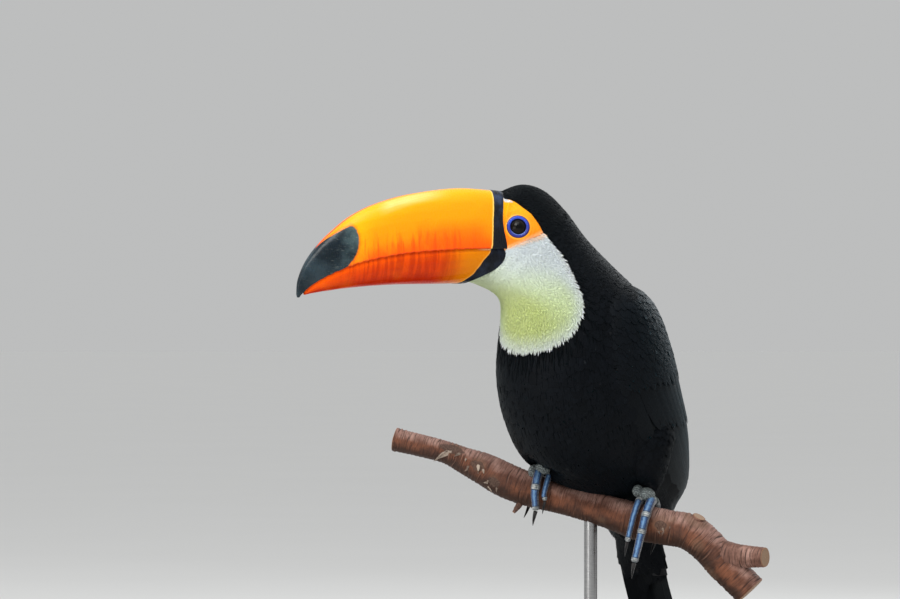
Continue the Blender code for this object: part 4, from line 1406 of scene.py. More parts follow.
def even_roots(sheet, weight, times=1):
    """Evenly spread places on a sheet, as many for each square millimetre as its weight says."""
    share = sheet.area * weight
    count = int(share.sum() * sheet.step[0] * sheet.step[1] / MM**2 * times)
    row_sum = share.sum(1)
    row_reach = np.concatenate(([0], np.cumsum(row_sum))) / row_sum.sum()
    # Multiples of the plastic number's inverses fall evenly over a square.
    k = np.arange(1, count + 1)
    first, second = (0.5 + k * 0.7548776662466927) % 1, (0.5 + k * 0.5698402909980532) % 1
    i = np.clip(np.searchsorted(row_reach, first, side="right") - 1, 0, len(row_sum) - 1)
    part = (first - row_reach[i]) / np.maximum(row_reach[i + 1] - row_reach[i], 1e-15)
    u = sheet.u[i] + (part - 0.5) * sheet.step[0]
    reach = np.cumsum(share, 1)
    reach /= np.maximum(reach[:, -1:], 1e-30)
    flat = (reach + np.arange(len(row_sum))[:, None]).ravel()
    spot = np.clip(np.searchsorted(flat, i + second), 0, flat.size - 1)
    j = spot % share.shape[1]
    v = sheet.v[j] + (rng.random(count) - 0.5) * sheet.step[1]
    order = np.argsort(-u)
    return np.clip(u, sheet.u[0], sheet.u[-1])[order], v[order]


def feather_look(name, rough, sheen, sheen_tint, relief, specular, pale=False):
    look = Look(name)
    x, y = look.split(look.uv("vane"))
    aside, along = look.split(look.uv("blank"))
    off = look.math("ABSOLUTE", aside)
    # Barbs slant forwards from the shaft on both sides.
    slanted = look.join(x * 0.55, y - off * 3.5)
    barbs = look.noise(look.scaled(slanted, (0.5, 2.6, 1)), 1.0, 3, 0.65)
    fine = look.noise(look.scaled(slanted, (0.9, 7.0, 1)), 1.0, 2, 0.6)
    # The gaps between them and the hidden base of each feather are painted darker, as painted shade.
    gap, base = ((0.92, 0.92, 0.91), (0.94, 0.94, 0.92)) if pale else ((0.45, 0.45, 0.45), (0.55, 0.55, 0.55))
    colour = look.colour("plumage")
    for dark, share in ((gap, barbs.step(0.3, 0.7)), (base, along.step(0.05, 0.75))):
        colour = look.mix(colour, look.mix(dark, (1.0, 1.0, 1.0), share), 1.0, "MULTIPLY")
    return look.set(
        Base_Color=colour,
        Roughness=barbs.step(0.2, 0.8, rough + 0.12, rough - 0.08),
        Sheen_Weight=sheen,
        Sheen_Roughness=0.45,
        Sheen_Tint=sheen_tint,
        Specular_IOR_Level=specular,
        Normal=look.bump(barbs * 0.8 + fine * 0.6 + off.step(0.10, 0.0, 0.9), 0.00025, relief),
        Subsurface_Weight=0.3 if pale else 0.0,
        Subsurface_Radius=(0.002, 0.002, 0.0015),
    )


black_look = feather_look("feathers_black", 0.52, 0.01, (0.1, 0.6, 0.7), 0.25, 0.06)
head_look = feather_look("feathers_head", 0.58, 0.01, (0.1, 0.55, 0.7), 0.15, 0.09)
pale_look = feather_look("feathers_pale", 0.8, 0.15, (1.0, 1.0, 1.0), 0.1, 0.1, pale=True)
red_look = feather_look("feathers_red", 0.6, 0.15, (1.0, 0.5, 0.4), 0.5, 0.25, pale=True)
wing_look = feather_look("feathers_wing", 0.46, 0.05, (0.02, 0.42, 0.62), 0.4, 0.075)

grid_t, grid_a = grid(body_sheet.u, body_sheet.v)
grid_degrees = np.degrees(np.abs(wrapped(grid_a)))
grid_bib = bib_depth(grid_t, grid_a)
grid_patch = patch_depth(grid_t, grid_a)
grid_wing = wing_rise(grid_t, grid_a)
grid_eye = np.minimum(eyes["L"].reach(body_sheet.points), eyes["R"].reach(body_sheet.points))


def feather_length(t):
    return np.interp(t, (1.5, 4, 7, 8.5, 10, 11.5, 13, 14, 15), (22, 23, 21, 17, 12.5, 9, 6.2, 4.6, 3.2))


BARK_CLEARANCE = 0.5 * MM


def off_branch(points):
    """Moves points that lie in the branch out to its bark, so that the coat drapes over it."""
    flat = points.reshape(-1, 3)
    low, high = branch_centre.min(0) - 0.02, branch_centre.max(0) + 0.02
    near = np.flatnonzero(((flat > low) & (flat < high)).all(1))
    for _ in range(2):
        p = flat[near]
        along = (p - PERCH_TOP) @ BRANCH_RUN / MM
        centre = np.stack([np.interp(along, branch_along, branch_centre[:, i]) for i in range(3)], -1)
        way = np.stack([np.interp(along, branch_along, branch_way[:, i]) for i in range(3)], -1)
        radius = np.interp(along, branch_along, branch_radius) + BARK_CLEARANCE
        offset = p - centre
        across = offset - (offset * way).sum(-1, keepdims=True) * way
        distance = np.maximum(size_of(across), 1e-6)
        shift = np.clip(radius - distance, 0, None) / distance
        flat[near] = p + across * shift[:, None]
    return flat.reshape(points.shape)


def off_perch(points):
    """Keeps the belly's feathers off the branch and the feet."""
    return off_branch(behind_feet(points))


def lay_body():
    """The black contour feathers of the breast, belly, flanks, mantle and back."""
    # The wings' own feathers leave their inner lower corners bare.
    corner = (grid_t < 4.1) & (grid_degrees < 50)
    under_wing = (grid_wing > 1.8) & ~corner
    region = (grid_bib < 5.0) & (grid_patch < -0.5) & (grid_t > 1.9) & (grid_t < 12.2) & ~under_wing
    rump = (grid_t < 3.3) & (grid_degrees < 44) & (grid_wing < 0.8)
    region &= ~rump & ~((grid_t < 3.1) & at_vent(grid_t, grid_a))
    spacing = 0.24 * feather_length(grid_t) + 0.4
    weight = region / spacing**2
    for name, part in (("coat_breast", grid_degrees > 95), ("coat_back", grid_degrees <= 95)):
        t, a = even_roots(body_sheet, weight * part)
        count = len(t)
        length = feather_length(t) * rng.normal(1.0, 0.07, count) * (1 - 0.55 * smooth_step(3.4, 2.4, t))
        root = -0.45 * coat_depth(t) - 0.8 * smooth_step(-2, 3, bib_depth(t, a))
        tip = rng.normal(0.1, 0.05, count) - 0.5 * smooth_step(-2, 4, bib_depth(t, a))
        coat = Coat().lay(
            body_sheet, CONTOUR, t, a, length, length * 0.32, root, tip, BLACK,
            rise=wing_rise, turn=rng.normal(0, 0.06, count), curl=0.55, push=off_perch,
            tilt=rng.normal(0, 0.03, count),
        )
        # Loose barbs soften the outline.
        t, a = even_roots(body_sheet, weight * part, 1.6)
        count = len(t)
        length = feather_length(t) * rng.uniform(0.45, 0.75, count)
        coat.lay(
            body_sheet, BLADE, t, a, length, rng.uniform(0.35, 0.7, count), -0.4,
            rng.normal(0.25, 0.1, count), BLACK, rise=wing_rise, turn=rng.normal(0, 0.08, count),
            push=off_perch,
        )
        finish(coat.build(name), black_look, "plumage_black")


def lay_head():
    """The short black feathers of the crown, nape and the sides of the neck."""
    region = (grid_bib < 1.0) & (grid_patch < -0.1) & (grid_t > 9.6) & (grid_eye > 10.2)
    spacing = np.interp(grid_t, (9.6, 12, 13.5, 15), (1.5, 1.2, 1.0, 0.8))
    t, a = even_roots(body_sheet, region / spacing**2)
    count = len(t)
    length = feather_length(t) * rng.uniform(0.8, 1.1, count) * np.interp(t, (9.6, 12), (0.7, 0.95))
    near = smooth_step(-2.2, -0.2, patch_depth(t, a))
    length = length * (1 - 0.45 * near)
    coat = Coat().lay(
        body_sheet, SILK, t, a, length, length * 0.105 + 0.14, -0.8 * coat_depth(t) * (1 - 0.7 * near),
        rng.normal(0.1, 0.03, count), BLACK, turn=rng.normal(0, 0.05, count), curl=0.7, shade=0.05,
    )

    def horn(t, share):
        return bill_points(UPPER_BILL, UPPER_FULLNESS, True, t, share)

    # The forehead's feathers start on the bill's base, behind the band.
    base = Sheet(
        lambda t, share: head_placed(horn(t, share)),
        (0.02, 0.5), (0.14, 0.86), 60, 160, False, head_placed((0, 0, 20.0)),
    )
    p = horn(*grid(base.u, base.v))
    behind = np.interp(p[..., 2], *zip(*BACK_EDGE)) - p[..., 0]
    t, share = even_roots(base, ((behind > 0.1) & (p[..., 2] > 38.2)) / 0.75**2)
    count = len(t)
    length = rng.uniform(3.6, 5.2, count)
    coat.lay(
        base, SILK, t, share, length, length * 0.11 + 0.12, -0.1, rng.normal(0.75, 0.12, count), BLACK,
        turn=rng.normal(0, 0.1, count), curl=0.7, room=FOREHEAD_ROOM,
    )
    finish(coat.build("coat_head"), head_look, "plumage_black")


def lay_bib():
    """The silky white and yellow bib, with a tufted edge over the black."""
    region = (grid_bib > -1.0) & (grid_patch < 0.2) & (grid_t < 15) & (grid_eye > 10.2)
    low = grid_degrees > 118
    for name, part, sparse in (("coat_bib_throat", low, 0.76), ("coat_bib_cheek", ~low, 0.72)):
        spacing = np.interp(grid_t, (8, 12, 15), (1.12, 1.0, 0.8)) * sparse
        t, a = even_roots(body_sheet, region * part / spacing**2)
        near = smooth_step(-2.2, 0.2, patch_depth(t, a))
        length = np.interp(t, (8, 10, 12, 14, 15), (9.5, 8.2, 6.6, 4.2, 3.0)) * rng.uniform(0.8, 1.1, len(t))
        length = length * (1 - 0.4 * near)
        # The tips make the bib's edge.
        reach = size_of(body_sheet.look(t, a)[2]) / MM
        inside = bib_depth(t - length / reach, a)
        kept = inside > rng.normal(-0.1, 0.4, len(t))
        t, a, near, length, inside = (values[kept] for values in (t, a, near, length, inside))
        count = len(t)
        edge = smooth_step(7, 0, inside)
        colour = plumage(t, a)
        colour[inside <= 0] = BRIGHT
        coat = Coat().lay(
            body_sheet, SILK, t, a, length, length * 0.058 + 0.19, -0.4 * coat_depth(t) * (1 - 0.7 * near),
            0.05 + 0.25 * edge + rng.normal(0, 0.02, count), colour,
            turn=rng.normal(0, 0.025 + 0.07 * edge, count), curl=0.7, shade=0.01,
        )
        finish(coat.build(name), pale_look, "plumage_white")


lay_body()
lay_head()
lay_bib()


# ---- The wings' and tail's feathers.

def run_length(sheet, start, end, v):
    """How far it is along a sheet from one u to another, in millimetres."""
    steps = np.linspace(start, end, 25)
    along = sheet.look(steps, np.broadcast_to(v, steps.shape))[2]
    return size_of(along).mean(0) * np.abs(end - start) / MM


# Each row of wing feathers: kind, count, outer and inner place across, root, outer and inner tip station,
# half width, and the heights of the roots and tips off the wing, which rise inwards.
WING_ROWS = (
    (FLIGHT, 7, (0.90, 0.30), 4.9, (2.3, 1.10), 7.0, -1.3, (-0.9, -0.5)),
    (FLIGHT, 10, (0.80, -0.90), 6.0, (1.5, 3.7), 7.6, -1.2, (-0.4, 0.2)),
    (COVERT, 15, (0.95, -0.80), 7.3, (5.3, 4.9), 5.0, -0.9, (0.1, 0.5)),
    (COVERT, 17, (0.97, -0.80), 8.0, (6.5, 6.2), 4.2, -0.6, (0.3, 0.6)),
)


def lay_wings():
    for letter, side in (("L", 1), ("R", -1)):
        inside = placed(np.array((-20.0, 0, 80)))
        sheet = Sheet(wing_spot(side), (0.5, 9.4), (-1.0, 1.0), 240, 81, False, inside)
        _, normal, along, across = sheet.look(np.array([5.0]), np.array([0.0]))
        hand = float(np.sign((np.cross(normal, -along) * across).sum()))
        coat = Coat()
        for kind, count, places, root, tips, half, low, high in WING_ROWS:
            v = np.linspace(*places, count) + rng.normal(0, 0.006, count)
            t = np.full(count, root) + rng.normal(0, 0.02, count)
            tip = np.linspace(*tips, count) + rng.normal(0, 0.06, count)
            coat.lay(
                sheet, kind, t, v, run_length(sheet, tip, t, v), half * rng.normal(1, 0.03, count), low,
                np.linspace(*high, count), BLACK * 0.9, turn=rng.normal(0, 0.02, count), tilt=0.12 * hand,
                shade=0.05, curl=0.6, room=WING_ROOM,
            )
        # Contour feathers lie over the shoulder and along the inner edge.
        tt, vv = grid(sheet.u, sheet.v)
        for here, lengths, share, lift in (
            ((tt > 6.9) & (tt < 9.3), (12, 16), 0.23, 0.35),
            ((vv < -0.5) & (tt > 4.6) & (tt < 9.0), (17, 23), 0.25, 0.6),
        ):
            t, v = even_roots(sheet, here / (0.25 * lengths[0]) ** 2)
            count = len(t)
            length = rng.uniform(*lengths, count)
            coat.lay(
                sheet, CONTOUR, t, v, length, length * share, -0.8, rng.normal(lift, 0.12, count), BLACK,
                turn=rng.normal(0, 0.06, count), curl=0.7, tilt=0.15 * hand, room=WING_ROOM,
            )
        finish(coat.build("coat_wing_" + letter), wing_look, "plumage_black")


# The tail feathers' places from the middle, their half width, and how much lower each lies than the last.
TAIL_PLACES, TAIL_HALF_WIDTH, TAIL_LAYER = (2.2, 6.6, 11.0, 15.2, 19.2), 9.2, 0.5


def lay_tail():
    under = placed(np.array(TAIL_ROOT, float) + tail_down * 70 - tail_back * 60)
    sheet = Sheet(tail_spot, (-6, 158), (-32, 32), 130, 65, False, under)
    coat = Coat()
    for side in (1, -1):
        for k, place in reversed(list(enumerate(TAIL_PLACES))):
            reach = TAIL_LENGTH - TAIL_STEP * (place / 28.5) ** 2
            height = 1.3 - TAIL_LAYER * k - (0.22 if side < 0 else 0)
            coat.lay(
                sheet, FLIGHT, [-2.0], [side * place * 0.75], reach - 3, TAIL_HALF_WIDTH, height, height,
                BLACK * 0.9, turn=side * 0.006 * k, sense=1, shade=0.04, room=TAIL_ROOM,
            )
    finish(coat.build("coat_tail"), wing_look, "plumage_black", "tail")


def lay_tail_root():
    """The coverts round the tail's root, the white rump over them, and the red vent under them."""
    root = Sheet(tail_root_spot, (-6, 74), (0, TURN), 100, 144, True, None)
    length_at, angle = grid(root.u, root.v)
    upper = np.cos(angle)
    narrowing = np.abs(np.sin(angle)) < np.interp(length_at, (6, 40), (1.1, 0.5))
    under = (upper < np.interp(length_at, (0, 20), (0.5, 0.78))) * narrowing * smooth_step(44, 16, length_at)
    over = (upper > np.interp(length_at, (0, 20), (0.55, 0.82))) & (length_at < 31)
    # Where the rump's and the vent's colours run on over the body, between the wings.
    behind = (grid_t > 1.9) & (grid_wing < 0.8)
    rump = behind & (grid_t < 3.4) & (grid_degrees < 47)
    vent = behind & (grid_t < 3.1) & at_vent(grid_t, grid_a)
    coverts, silk = (CONTOUR, 3.2, 0.22), (SILK, 1.45, 0.085)
    for name, (kind, spacing, slim), on_root, on_body, lengths, lift, colour, look, slot in (
        ("coat_tail_under", coverts, under, None, (15, 20), -0.25, BLACK, black_look, "plumage_black"),
        ("coat_rump_white", silk, over, rump, (10, 15), 0.5, RUMP_WHITE, pale_look, "plumage_white"),
        ("coat_vent_red", coverts, None, vent, (8, 10), 0.9, RED, red_look, "plumage_red"),
    ):
        coat = Coat()
        if on_root is not None:
            u, v = even_roots(root, on_root / spacing**2)
            count = len(u)
            length = rng.uniform(*lengths, count)
            coat.lay(
                root, kind, u[::-1], v[::-1], length, length * slim, -1.5, rng.normal(lift, 0.15, count),
                colour, sense=1, turn=rng.normal(0, 0.07, count), shade=0.03, room=ROOT_ROOM,
            )
        if on_body is not None:
            t, a = even_roots(body_sheet, on_body / (spacing + 0.2) ** 2)
            count = len(t)
            length = rng.uniform(9, 12, count)
            coat.lay(
                body_sheet, kind, t, a, length, length * slim * 1.1, -1.5,
                rng.normal(0.3, 0.12, count) - 0.9 * smooth_step(2.3, 3.2, t), colour,
                rise=wing_rise, turn=rng.normal(0, 0.05, count), shade=0.03, push=off_perch,
            )
        finish(coat.build(name), look, slot)


# ---- The legs and feet, gripping the branch.

# Each toe: front or back, sideways start and end, wrap in degrees, reach, radius, claw length.
TOES = {
    "R": (
        (1, 3.8, 8.2, (12, 88), 4, 3.0, 10), (1, -5.1, 3.4, (12, 92), 12, 4.3, 12),
        (-1, -4.2, -8.0, (12, 100), 9, 3.6, 12), (-1, 3.8, 6.0, (12, 92), 2, 3.1, 10),
    ),
    "L": (
        (1, -5.2, -5.8, (12, 84), 17, 3.3, 11), (1, 3.8, 3.2, (12, 84), 31, 4.3, 12),
        (-1, 4.4, 9.0, (12, 100), 9, 3.7, 12), (-1, -3.8, -6.0, (12, 92), 2, 3.1, 10),
    ),
}
TOE_NUMBERS = "2341"
SHANK_RADII = (3.4, 3.3, 3.6, 4.6)
TOE_THINNING = 0.32
# Where each front toe's joints lie, as shares of its length, and where they lie on the others.
TOE_JOINTS = {"R2": (0.10, 0.96), "R3": (0.06, 0.52, 0.96), "L2": (0.12, 0.96), "L3": (0.33, 0.56, 0.97)}
OTHER_JOINTS = (0.24, 0.60, 0.95)
JOINT_WIDTH = 2.0
CLAW_TAPER, CLAW_CURL = (0.66, 0.60, 0.50, 0.37, 0.22, 0.03), 0.16


def tube(path, radii, top, ring):
    """Rings of points round a path. ring(angle) gives shares of the radius across it and towards top."""
    way = unit(np.gradient(path, axis=0))
    top = unit(top - (top * way).sum(-1, keepdims=True) * way)
    side = np.cross(way, top)
    across, rise = ring
    offset = side[:, None] * across[..., None] + top[:, None] * rise[..., None]
    return path[:, None] + offset * radii[:, None, None]


def waves(seed, count, along, around):
    """A bumpy function of a distance and an angle, about -1 to 1: a sum of random waves."""
    draw = np.random.default_rng(seed)
    per_length = draw.uniform(*along, count)
    turns = draw.integers(around[0], around[1] + 1, count) * draw.choice((-1, 1), count)
    phase = draw.uniform(0, TURN, count)

    def height(distance, angle):
        total = sum(np.sin(f * distance + n * angle + p) for f, n, p in zip(per_length, turns, phase))
        return total / math.sqrt(2 * count)

    return height


skin_bumps = waves(5, 14, (1.6, 4.2), (2, 9))


def toe_rings(letter, toe, number):
    """A toe's rings of points, its marks, and where its claw starts."""
    centre, way, radius, up, front = branch_spot(FEET[letter])
    end_way, start, end, wrap, reach, thick, claw_length = toe
    out = radius + (thick + 0.5) * MM
    low, high = np.radians(wrap)
    outward = [up * math.cos(b) + front * end_way * math.sin(b) for b in np.linspace(low, high, 5)]
    path = [centre + o * out for o in outward]
    ahead = front * end_way * math.cos(high) - up * math.sin(high)
    path += [path[-1] + ahead * reach * share * MM for share in (0.5, 1.0)]
    outward += [outward[-1]] * 2
    drift = np.array((*np.linspace(0, 0.5, 5), 0.75, 1.0))
    path = np.array(path) + way * (start + (end - start) * drift)[:, None] * MM
    s = np.linspace(0, 1, 120)
    fine = rows_at(path, s * (len(path) - 1))
    top = unit(rows_at(np.array(outward), s * (len(path) - 1)))
    step = size_of(np.diff(fine, axis=0)) / MM
    run = np.concatenate(([0], np.cumsum(step)))
    # Even rows along the toe.
    even = np.linspace(0, run[-1], 120)
    fine, top = (np.stack([np.interp(even, run, rows[:, i]) for i in range(3)], -1) for rows in (fine, top))
    joints = even[-1] * np.array(TOE_JOINTS.get(letter + number, OTHER_JOINTS))
    from_joint = even[:, None] - joints
    joint = np.exp(-((from_joint / JOINT_WIDTH) ** 2)).max(1)
    base = thick * (1 - TOE_THINNING * even / even[-1]) * (0.95 + 0.10 * joint)
    angle = whole_turn(48)
    above = np.clip(np.cos(angle) + 0.45, 0, 1)[None, :]
    below = np.clip(0.25 - np.cos(angle), 0, 1)[None, :]
    # Grooves cross the toe between its scutes, and lie closest over a joint.
    pitch = np.where(joint > 0.30, 1.25, 3.3)
    phase = np.cumsum(np.gradient(even) / pitch)
    joint = joint[:, None]
    groove = np.exp(-((np.abs((phase % 1) - 0.5) / 0.16) ** 2))[:, None]
    relief = 1 - groove * above * (0.015 + 0.085 * joint)
    # A dark fold lies on both sides of a joint.
    folds = np.exp(-(((np.abs(from_joint) - JOINT_WIDTH) / 0.5) ** 2)).max(1)[:, None] * above
    relief = relief - 0.05 * folds
    relief = relief + 0.03 * below * skin_bumps(even[:, None], angle[None, :])
    end_cap = np.sqrt(np.clip(1 - ((even - even[-1] + 2.2) / 2.6).clip(0, 1) ** 2, 0, 1))
    ring = (np.sin(angle) * relief * 0.94, np.cos(angle) * relief)
    marks = {
        "groove": np.maximum(groove * above * (0.10 + 0.90 * joint), 0.8 * folds), "joint": joint,
        "sole": below, "crest": np.cos(angle)[None, :], "knuckle": np.exp(-((even / 4.5) ** 2))[:, None],
    }
    marks = {key: np.broadcast_to(value, relief.shape) for key, value in marks.items()}
    claw = (path[-1] + ahead * base[-1] * 0.2 * MM, ahead, -outward[-1], base[-1], claw_length)
    return tube(fine, base * end_cap * MM, top, ring), marks, claw


def make_claw(letter, number, tip, ahead, inward, radius, length):
    path, heading = [tip], ahead
    for _ in CLAW_TAPER[1:]:
        heading = unit(heading + inward * CLAW_CURL)
        path.append(path[-1] + heading * (length + 1.5) / (len(CLAW_TAPER) - 1) * MM)
    s = np.linspace(0, 1, 54) ** 0.9
    fine = rows_at(np.array(path), s * (len(path) - 1))
    taper = np.interp(s * (len(CLAW_TAPER) - 1), range(len(CLAW_TAPER)), CLAW_TAPER)
    angle = whole_turn(28)
    # A claw is deeper than it is wide, with a flat underside and a keel on top.
    across = np.sin(angle) * 0.82 * (1 - 0.15 * np.cos(angle))
    rise = np.where(np.cos(angle) > 0, np.cos(angle) * 1.12, np.cos(angle) * 0.72)
    growth = 1 + 0.012 * np.sin(s * 70)[:, None]
    top = np.repeat(-inward[None], len(s), 0)
    points = tube(fine, np.maximum(taper, 0.02) * radius * MM, top, (across * growth, rise * growth))
    return tubes(f"talon_{letter}_{number}", (points, {"share": np.repeat(s[:, None], len(angle), 1)}))


def foot_look():
    look = Look("foot_scales")
    groove, joint, sole, knuckle, crest = look.numbers("groove", "joint", "sole", "knuckle", "crest")
    blotch = look.noise(look.place(), 420, 4, 0.6)
    scales = look.cells(620, "DISTANCE_TO_EDGE")
    # The scutes on top are blue, painted darker towards the toe's sides as painted shade and bright along the
    # middle as a painted highlight, and the sides are pale.
    blue = look.mix((0.018, 0.056, 0.16), (0.070, 0.175, 0.37), blotch.step(0.38, 0.64))
    blue = look.mix((0.010, 0.032, 0.10), blue, crest.step(0.72, 0.93))
    blue = look.mix(blue, (0.20, 0.36, 0.56), crest.step(0.95, 1.0, 0.6))
    pale = look.mix((0.20, 0.22, 0.22), (0.50, 0.51, 0.50), blotch.step(0.4, 0.65))
    rough_skin = look.mix((0.100, 0.115, 0.115), (0.27, 0.31, 0.30), scales.step(0.03, 0.24))
    colour = look.painted(
        (0.055, 0.060, 0.070),
        ((0.24, 0.24, 0.26), scales.step(0.02, 0.2)),
        (blue, crest.step(0.55, 0.68)),
        (pale, joint.step(0.40, 0.65) * crest.step(0.45, 0.80)),
        (rough_skin, knuckle.step(0.35, 0.8)),
        # The sole against the branch is painted dark, as painted shade.
        ((0.035, 0.045, 0.055), sole.step(0.0, 0.6)),
        ((0.012, 0.02, 0.035), groove.step(0.2, 0.85, 0.9)),
    )
    return look.set(
        Base_Color=colour,
        Roughness=blotch.step(0.3, 0.7, 0.46, 0.30),
        Normal=look.bump(scales.step(0.0, 0.14) + blotch * 0.4, 0.0004, 0.7),
        Specular_IOR_Level=0.45,
    )


def claw_look():
    look = Look("claw_horn")
    [share] = look.numbers("share")
    streaks = look.noise(look.scaled(look.place(), (900, 900, 260)), 1.0, 4)
    colour = look.painted(
        (0.022, 0.020, 0.020),
        ((0.004, 0.004, 0.005), share.step(0.0, 0.5)),
        ((0.05, 0.045, 0.04), streaks.step(0.6, 0.8, 0.3)),
    )
    return look.set(
        Base_Color=colour,
        Roughness=streaks.step(0.3, 0.7, 0.48, 0.34),
        Normal=look.bump(streaks, 0.0001, 0.4),
        Specular_IOR_Level=0.3,
    )


# The scutes over a bulb: which way they point along, forward and up, and how far apart they are.
SCUTE_AXIS, SCUTE_PITCH = np.array((0.0, 0.86, -0.51)), 1.9


def bulb_marks(groove):
    """The marks of a foot's bulb, which is all pebbled skin."""
    ones, zeros = np.ones_like(groove), np.zeros_like(groove)
    return {"groove": groove, "joint": zeros, "sole": zeros, "crest": ones, "knuckle": ones}


def make_feet():
    skin_of_foot, horn = foot_look(), claw_look()
    angle = whole_turn(64)
    for letter, along in FEET.items():
        centre, way, radius, up, front = branch_spot(along)
        knuckle = centre + up * (radius + KNUCKLE_RISE * MM)
        ankle = centre + up * (radius + ANKLE_RISE * MM) - UP * 1.0 * MM
        shells = []
        for number, toe in zip(TOE_NUMBERS, TOES[letter]):
            points, marks, claw = toe_rings(letter, toe, number)
            shells.append((points, marks))
            finish(make_claw(letter, number, *claw), horn, "claw_horn", f"claw_{letter}_{number}")
        s = np.linspace(0, 1, 60)
        path = ankle + (knuckle - ankle) * s[:, None] + UP * 3 * MM * (1 - s[:, None])
        wrinkle = 1 + 0.03 * skin_bumps(s[:, None] * 12, angle[None, :])
        radii = np.interp(s, np.linspace(0, 1, len(SHANK_RADII)), SHANK_RADII) * MM
        ring = (np.sin(angle) * wrinkle, np.cos(angle) * wrinkle)
        shank = tube(path, radii, np.repeat(front[None], len(s), 0), ring)
        shells.append((shank, bulb_marks(0.35 * (wrinkle < 0.985))))
        # The bulb's lobes over the toes' roots, under scutes that overlap towards the toes.
        polar = np.linspace(0.02, math.pi - 0.02, 72)[:, None]
        for middle, half in lobes(letter):
            ball = np.sin(polar) * np.cos(angle), np.sin(polar) * np.sin(angle), np.cos(polar)
            ball = np.stack(np.broadcast_arrays(*ball), -1)
            from_toes = np.arccos(np.clip(ball @ SCUTE_AXIS, -1, 1))
            scutes = TURN * from_toes * np.mean(half) / SCUTE_PITCH
            ridge = np.cos(scutes + 0.5 * skin_bumps(polar * 5, angle[None, :]))
            relief = 1 + 0.030 * ridge + 0.02 * skin_bumps(polar * 7, angle[None, :])
            spread = ball * relief[..., None] * np.array(half) * MM
            points = middle + spread @ np.stack((way, front, up))
            shells.append((points, bulb_marks(0.85 * smooth_step(-0.2, -0.9, ridge))))
        finish(tubes("toes_" + letter, *shells), skin_of_foot, "foot_skin", "foot_" + letter)


def lay_thighs():
    for letter in "RL":
        sheet = Sheet(tube_spot(thigh_path(letter)), (0.0, 1.0), (0, TURN), 90, 90, True, None)
        s, _ = grid(sheet.u, sheet.v)
        spacing = np.interp(s, (0, 0.6, 1), (3.6, 2.6, 1.5))
        u, v = even_roots(sheet, ((s > 0.12) & (s < 0.9)) / spacing**2)
        count = len(u)
        length = np.interp(u, (0, 0.6, 0.75, 0.9), (14, 11, 7, 4.5)) * rng.uniform(0.85, 1.1, count)
        coat = Coat().lay(
            sheet, CONTOUR, u[::-1], v[::-1], length[::-1], length[::-1] * 0.26, -1.8,
            rng.normal(0.3, 0.3, count), BLACK, sense=1, turn=rng.normal(0, 0.12, count), push=off_perch,
            room=THIGH_ROOM,
        )
        finish(coat.build("coat_thigh_" + letter), black_look, "plumage_black")


lay_wings()
lay_tail()
lay_tail_root()
lay_thighs()
make_feet()


# ---- The branch.

BRANCH_WAVES = ((0.025, 3, 1.7), (0.02, 5, -2.3))
# Twigs cut short: along, angle round the branch, lean towards its right end, radius, length, how much of its
# radius is left at the end, and how bare of bark it is.
TWIGS = (
    (99, 25, 0.9, 8.0, 27, 0.94, 0.0), (-45, 170, -0.3, 2.2, 8.5, 0.55, 0.6),
    (79, 14, 0.0, 5.2, 1.8, 0.94, 0.0),
)
# Knots and swellings: along, angle in degrees, length, breadth in degrees, and height.
KNOTS = (
    (-104, 40, 8, 26, 1.0), (-84, 75, 6, 30, 1.1), (-70, 95, 5, 24, 0.8), (58, 78, 7, 30, 1.5),
    (66, 55, 4, 20, 0.9), (79, 25, 7, 34, 1.8), (88, 100, 6, 26, 1.0), (14, 120, 6, 22, 0.8),
    (-22, 60, 5, 24, 0.5), (104, 150, 7, 30, 0.9),
)
# Where the outer bark has peeled: along, angle, length, breadth in degrees.
PEELS = ((-106, 58, 11, 26), (-84, 84, 6, 20), (-69, 104, 5, 18), (58, 84, 5, 18))

bark_lumps = waves(11, 18, (0.03, 0.16), (0, 4))
bark_ridges = waves(12, 30, (1.2, 4.2), (0, 3))
bark_grain = waves(13, 26, (0.4, 1.6), (4, 16))


def patches(table, along, angle):
    """How strongly each place lies on one of a table's round patches, and its height where they have one."""
    total = np.zeros(np.broadcast(along, angle).shape)
    for at_along, at_angle, length, breadth, *height in table:
        off = np.degrees(wrapped(angle - math.radians(at_angle)))
        near = np.exp(-(((along - at_along) / length) ** 2) - (off / breadth) ** 2)
        total = np.maximum(total, near * (height[0] if height else 1.0))
    return total


def peel_at(along, angle):
    """How far the outer bark has come off at a place."""
    return smooth_step(0.35, 0.6, patches(PEELS, along, angle) + 0.08 * bark_grain(along, angle))


def ridges_at(along, angle):
    """The bark's rings of ridges, which wander."""
    return bark_ridges(along + 0.8 * bark_lumps(along * 3, angle), angle)


def branch_surface(t, angle):
    """Points of the bark: t is a row of the branch's table, and angle is from the top towards the front."""
    t, angle = matched(t, angle)
    row = rows_at(BRANCH, t)
    centre = PERCH_TOP + (BRANCH_RUN * row[..., :1] + UP * row[..., 1:2]) * MM
    step = 0.02
    gap = rows_at(BRANCH, t + step) - rows_at(BRANCH, t - step)
    way = unit(BRANCH_RUN * gap[..., :1] + UP * gap[..., 1:2])
    up = unit(UP - way * way[..., 2:])
    side = np.cross(way, up)
    wave = 1 + sum(size * np.sin(around * angle + turn * t) for size, around, turn in BRANCH_WAVES)
    radius, along = row[..., 2] * wave, row[..., 0]
    peel = peel_at(along, angle)
    radius = radius + 0.35 * bark_lumps(along, angle) + 0.30 * ridges_at(along, angle) * (1 - peel)
    radius = radius + 0.09 * bark_grain(along, angle)
    radius = radius + patches(KNOTS, along, angle) - 0.45 * peel
    outward = up * np.cos(angle)[..., None] + side * np.sin(angle)[..., None]
    return centre + outward * (radius * MM)[..., None]


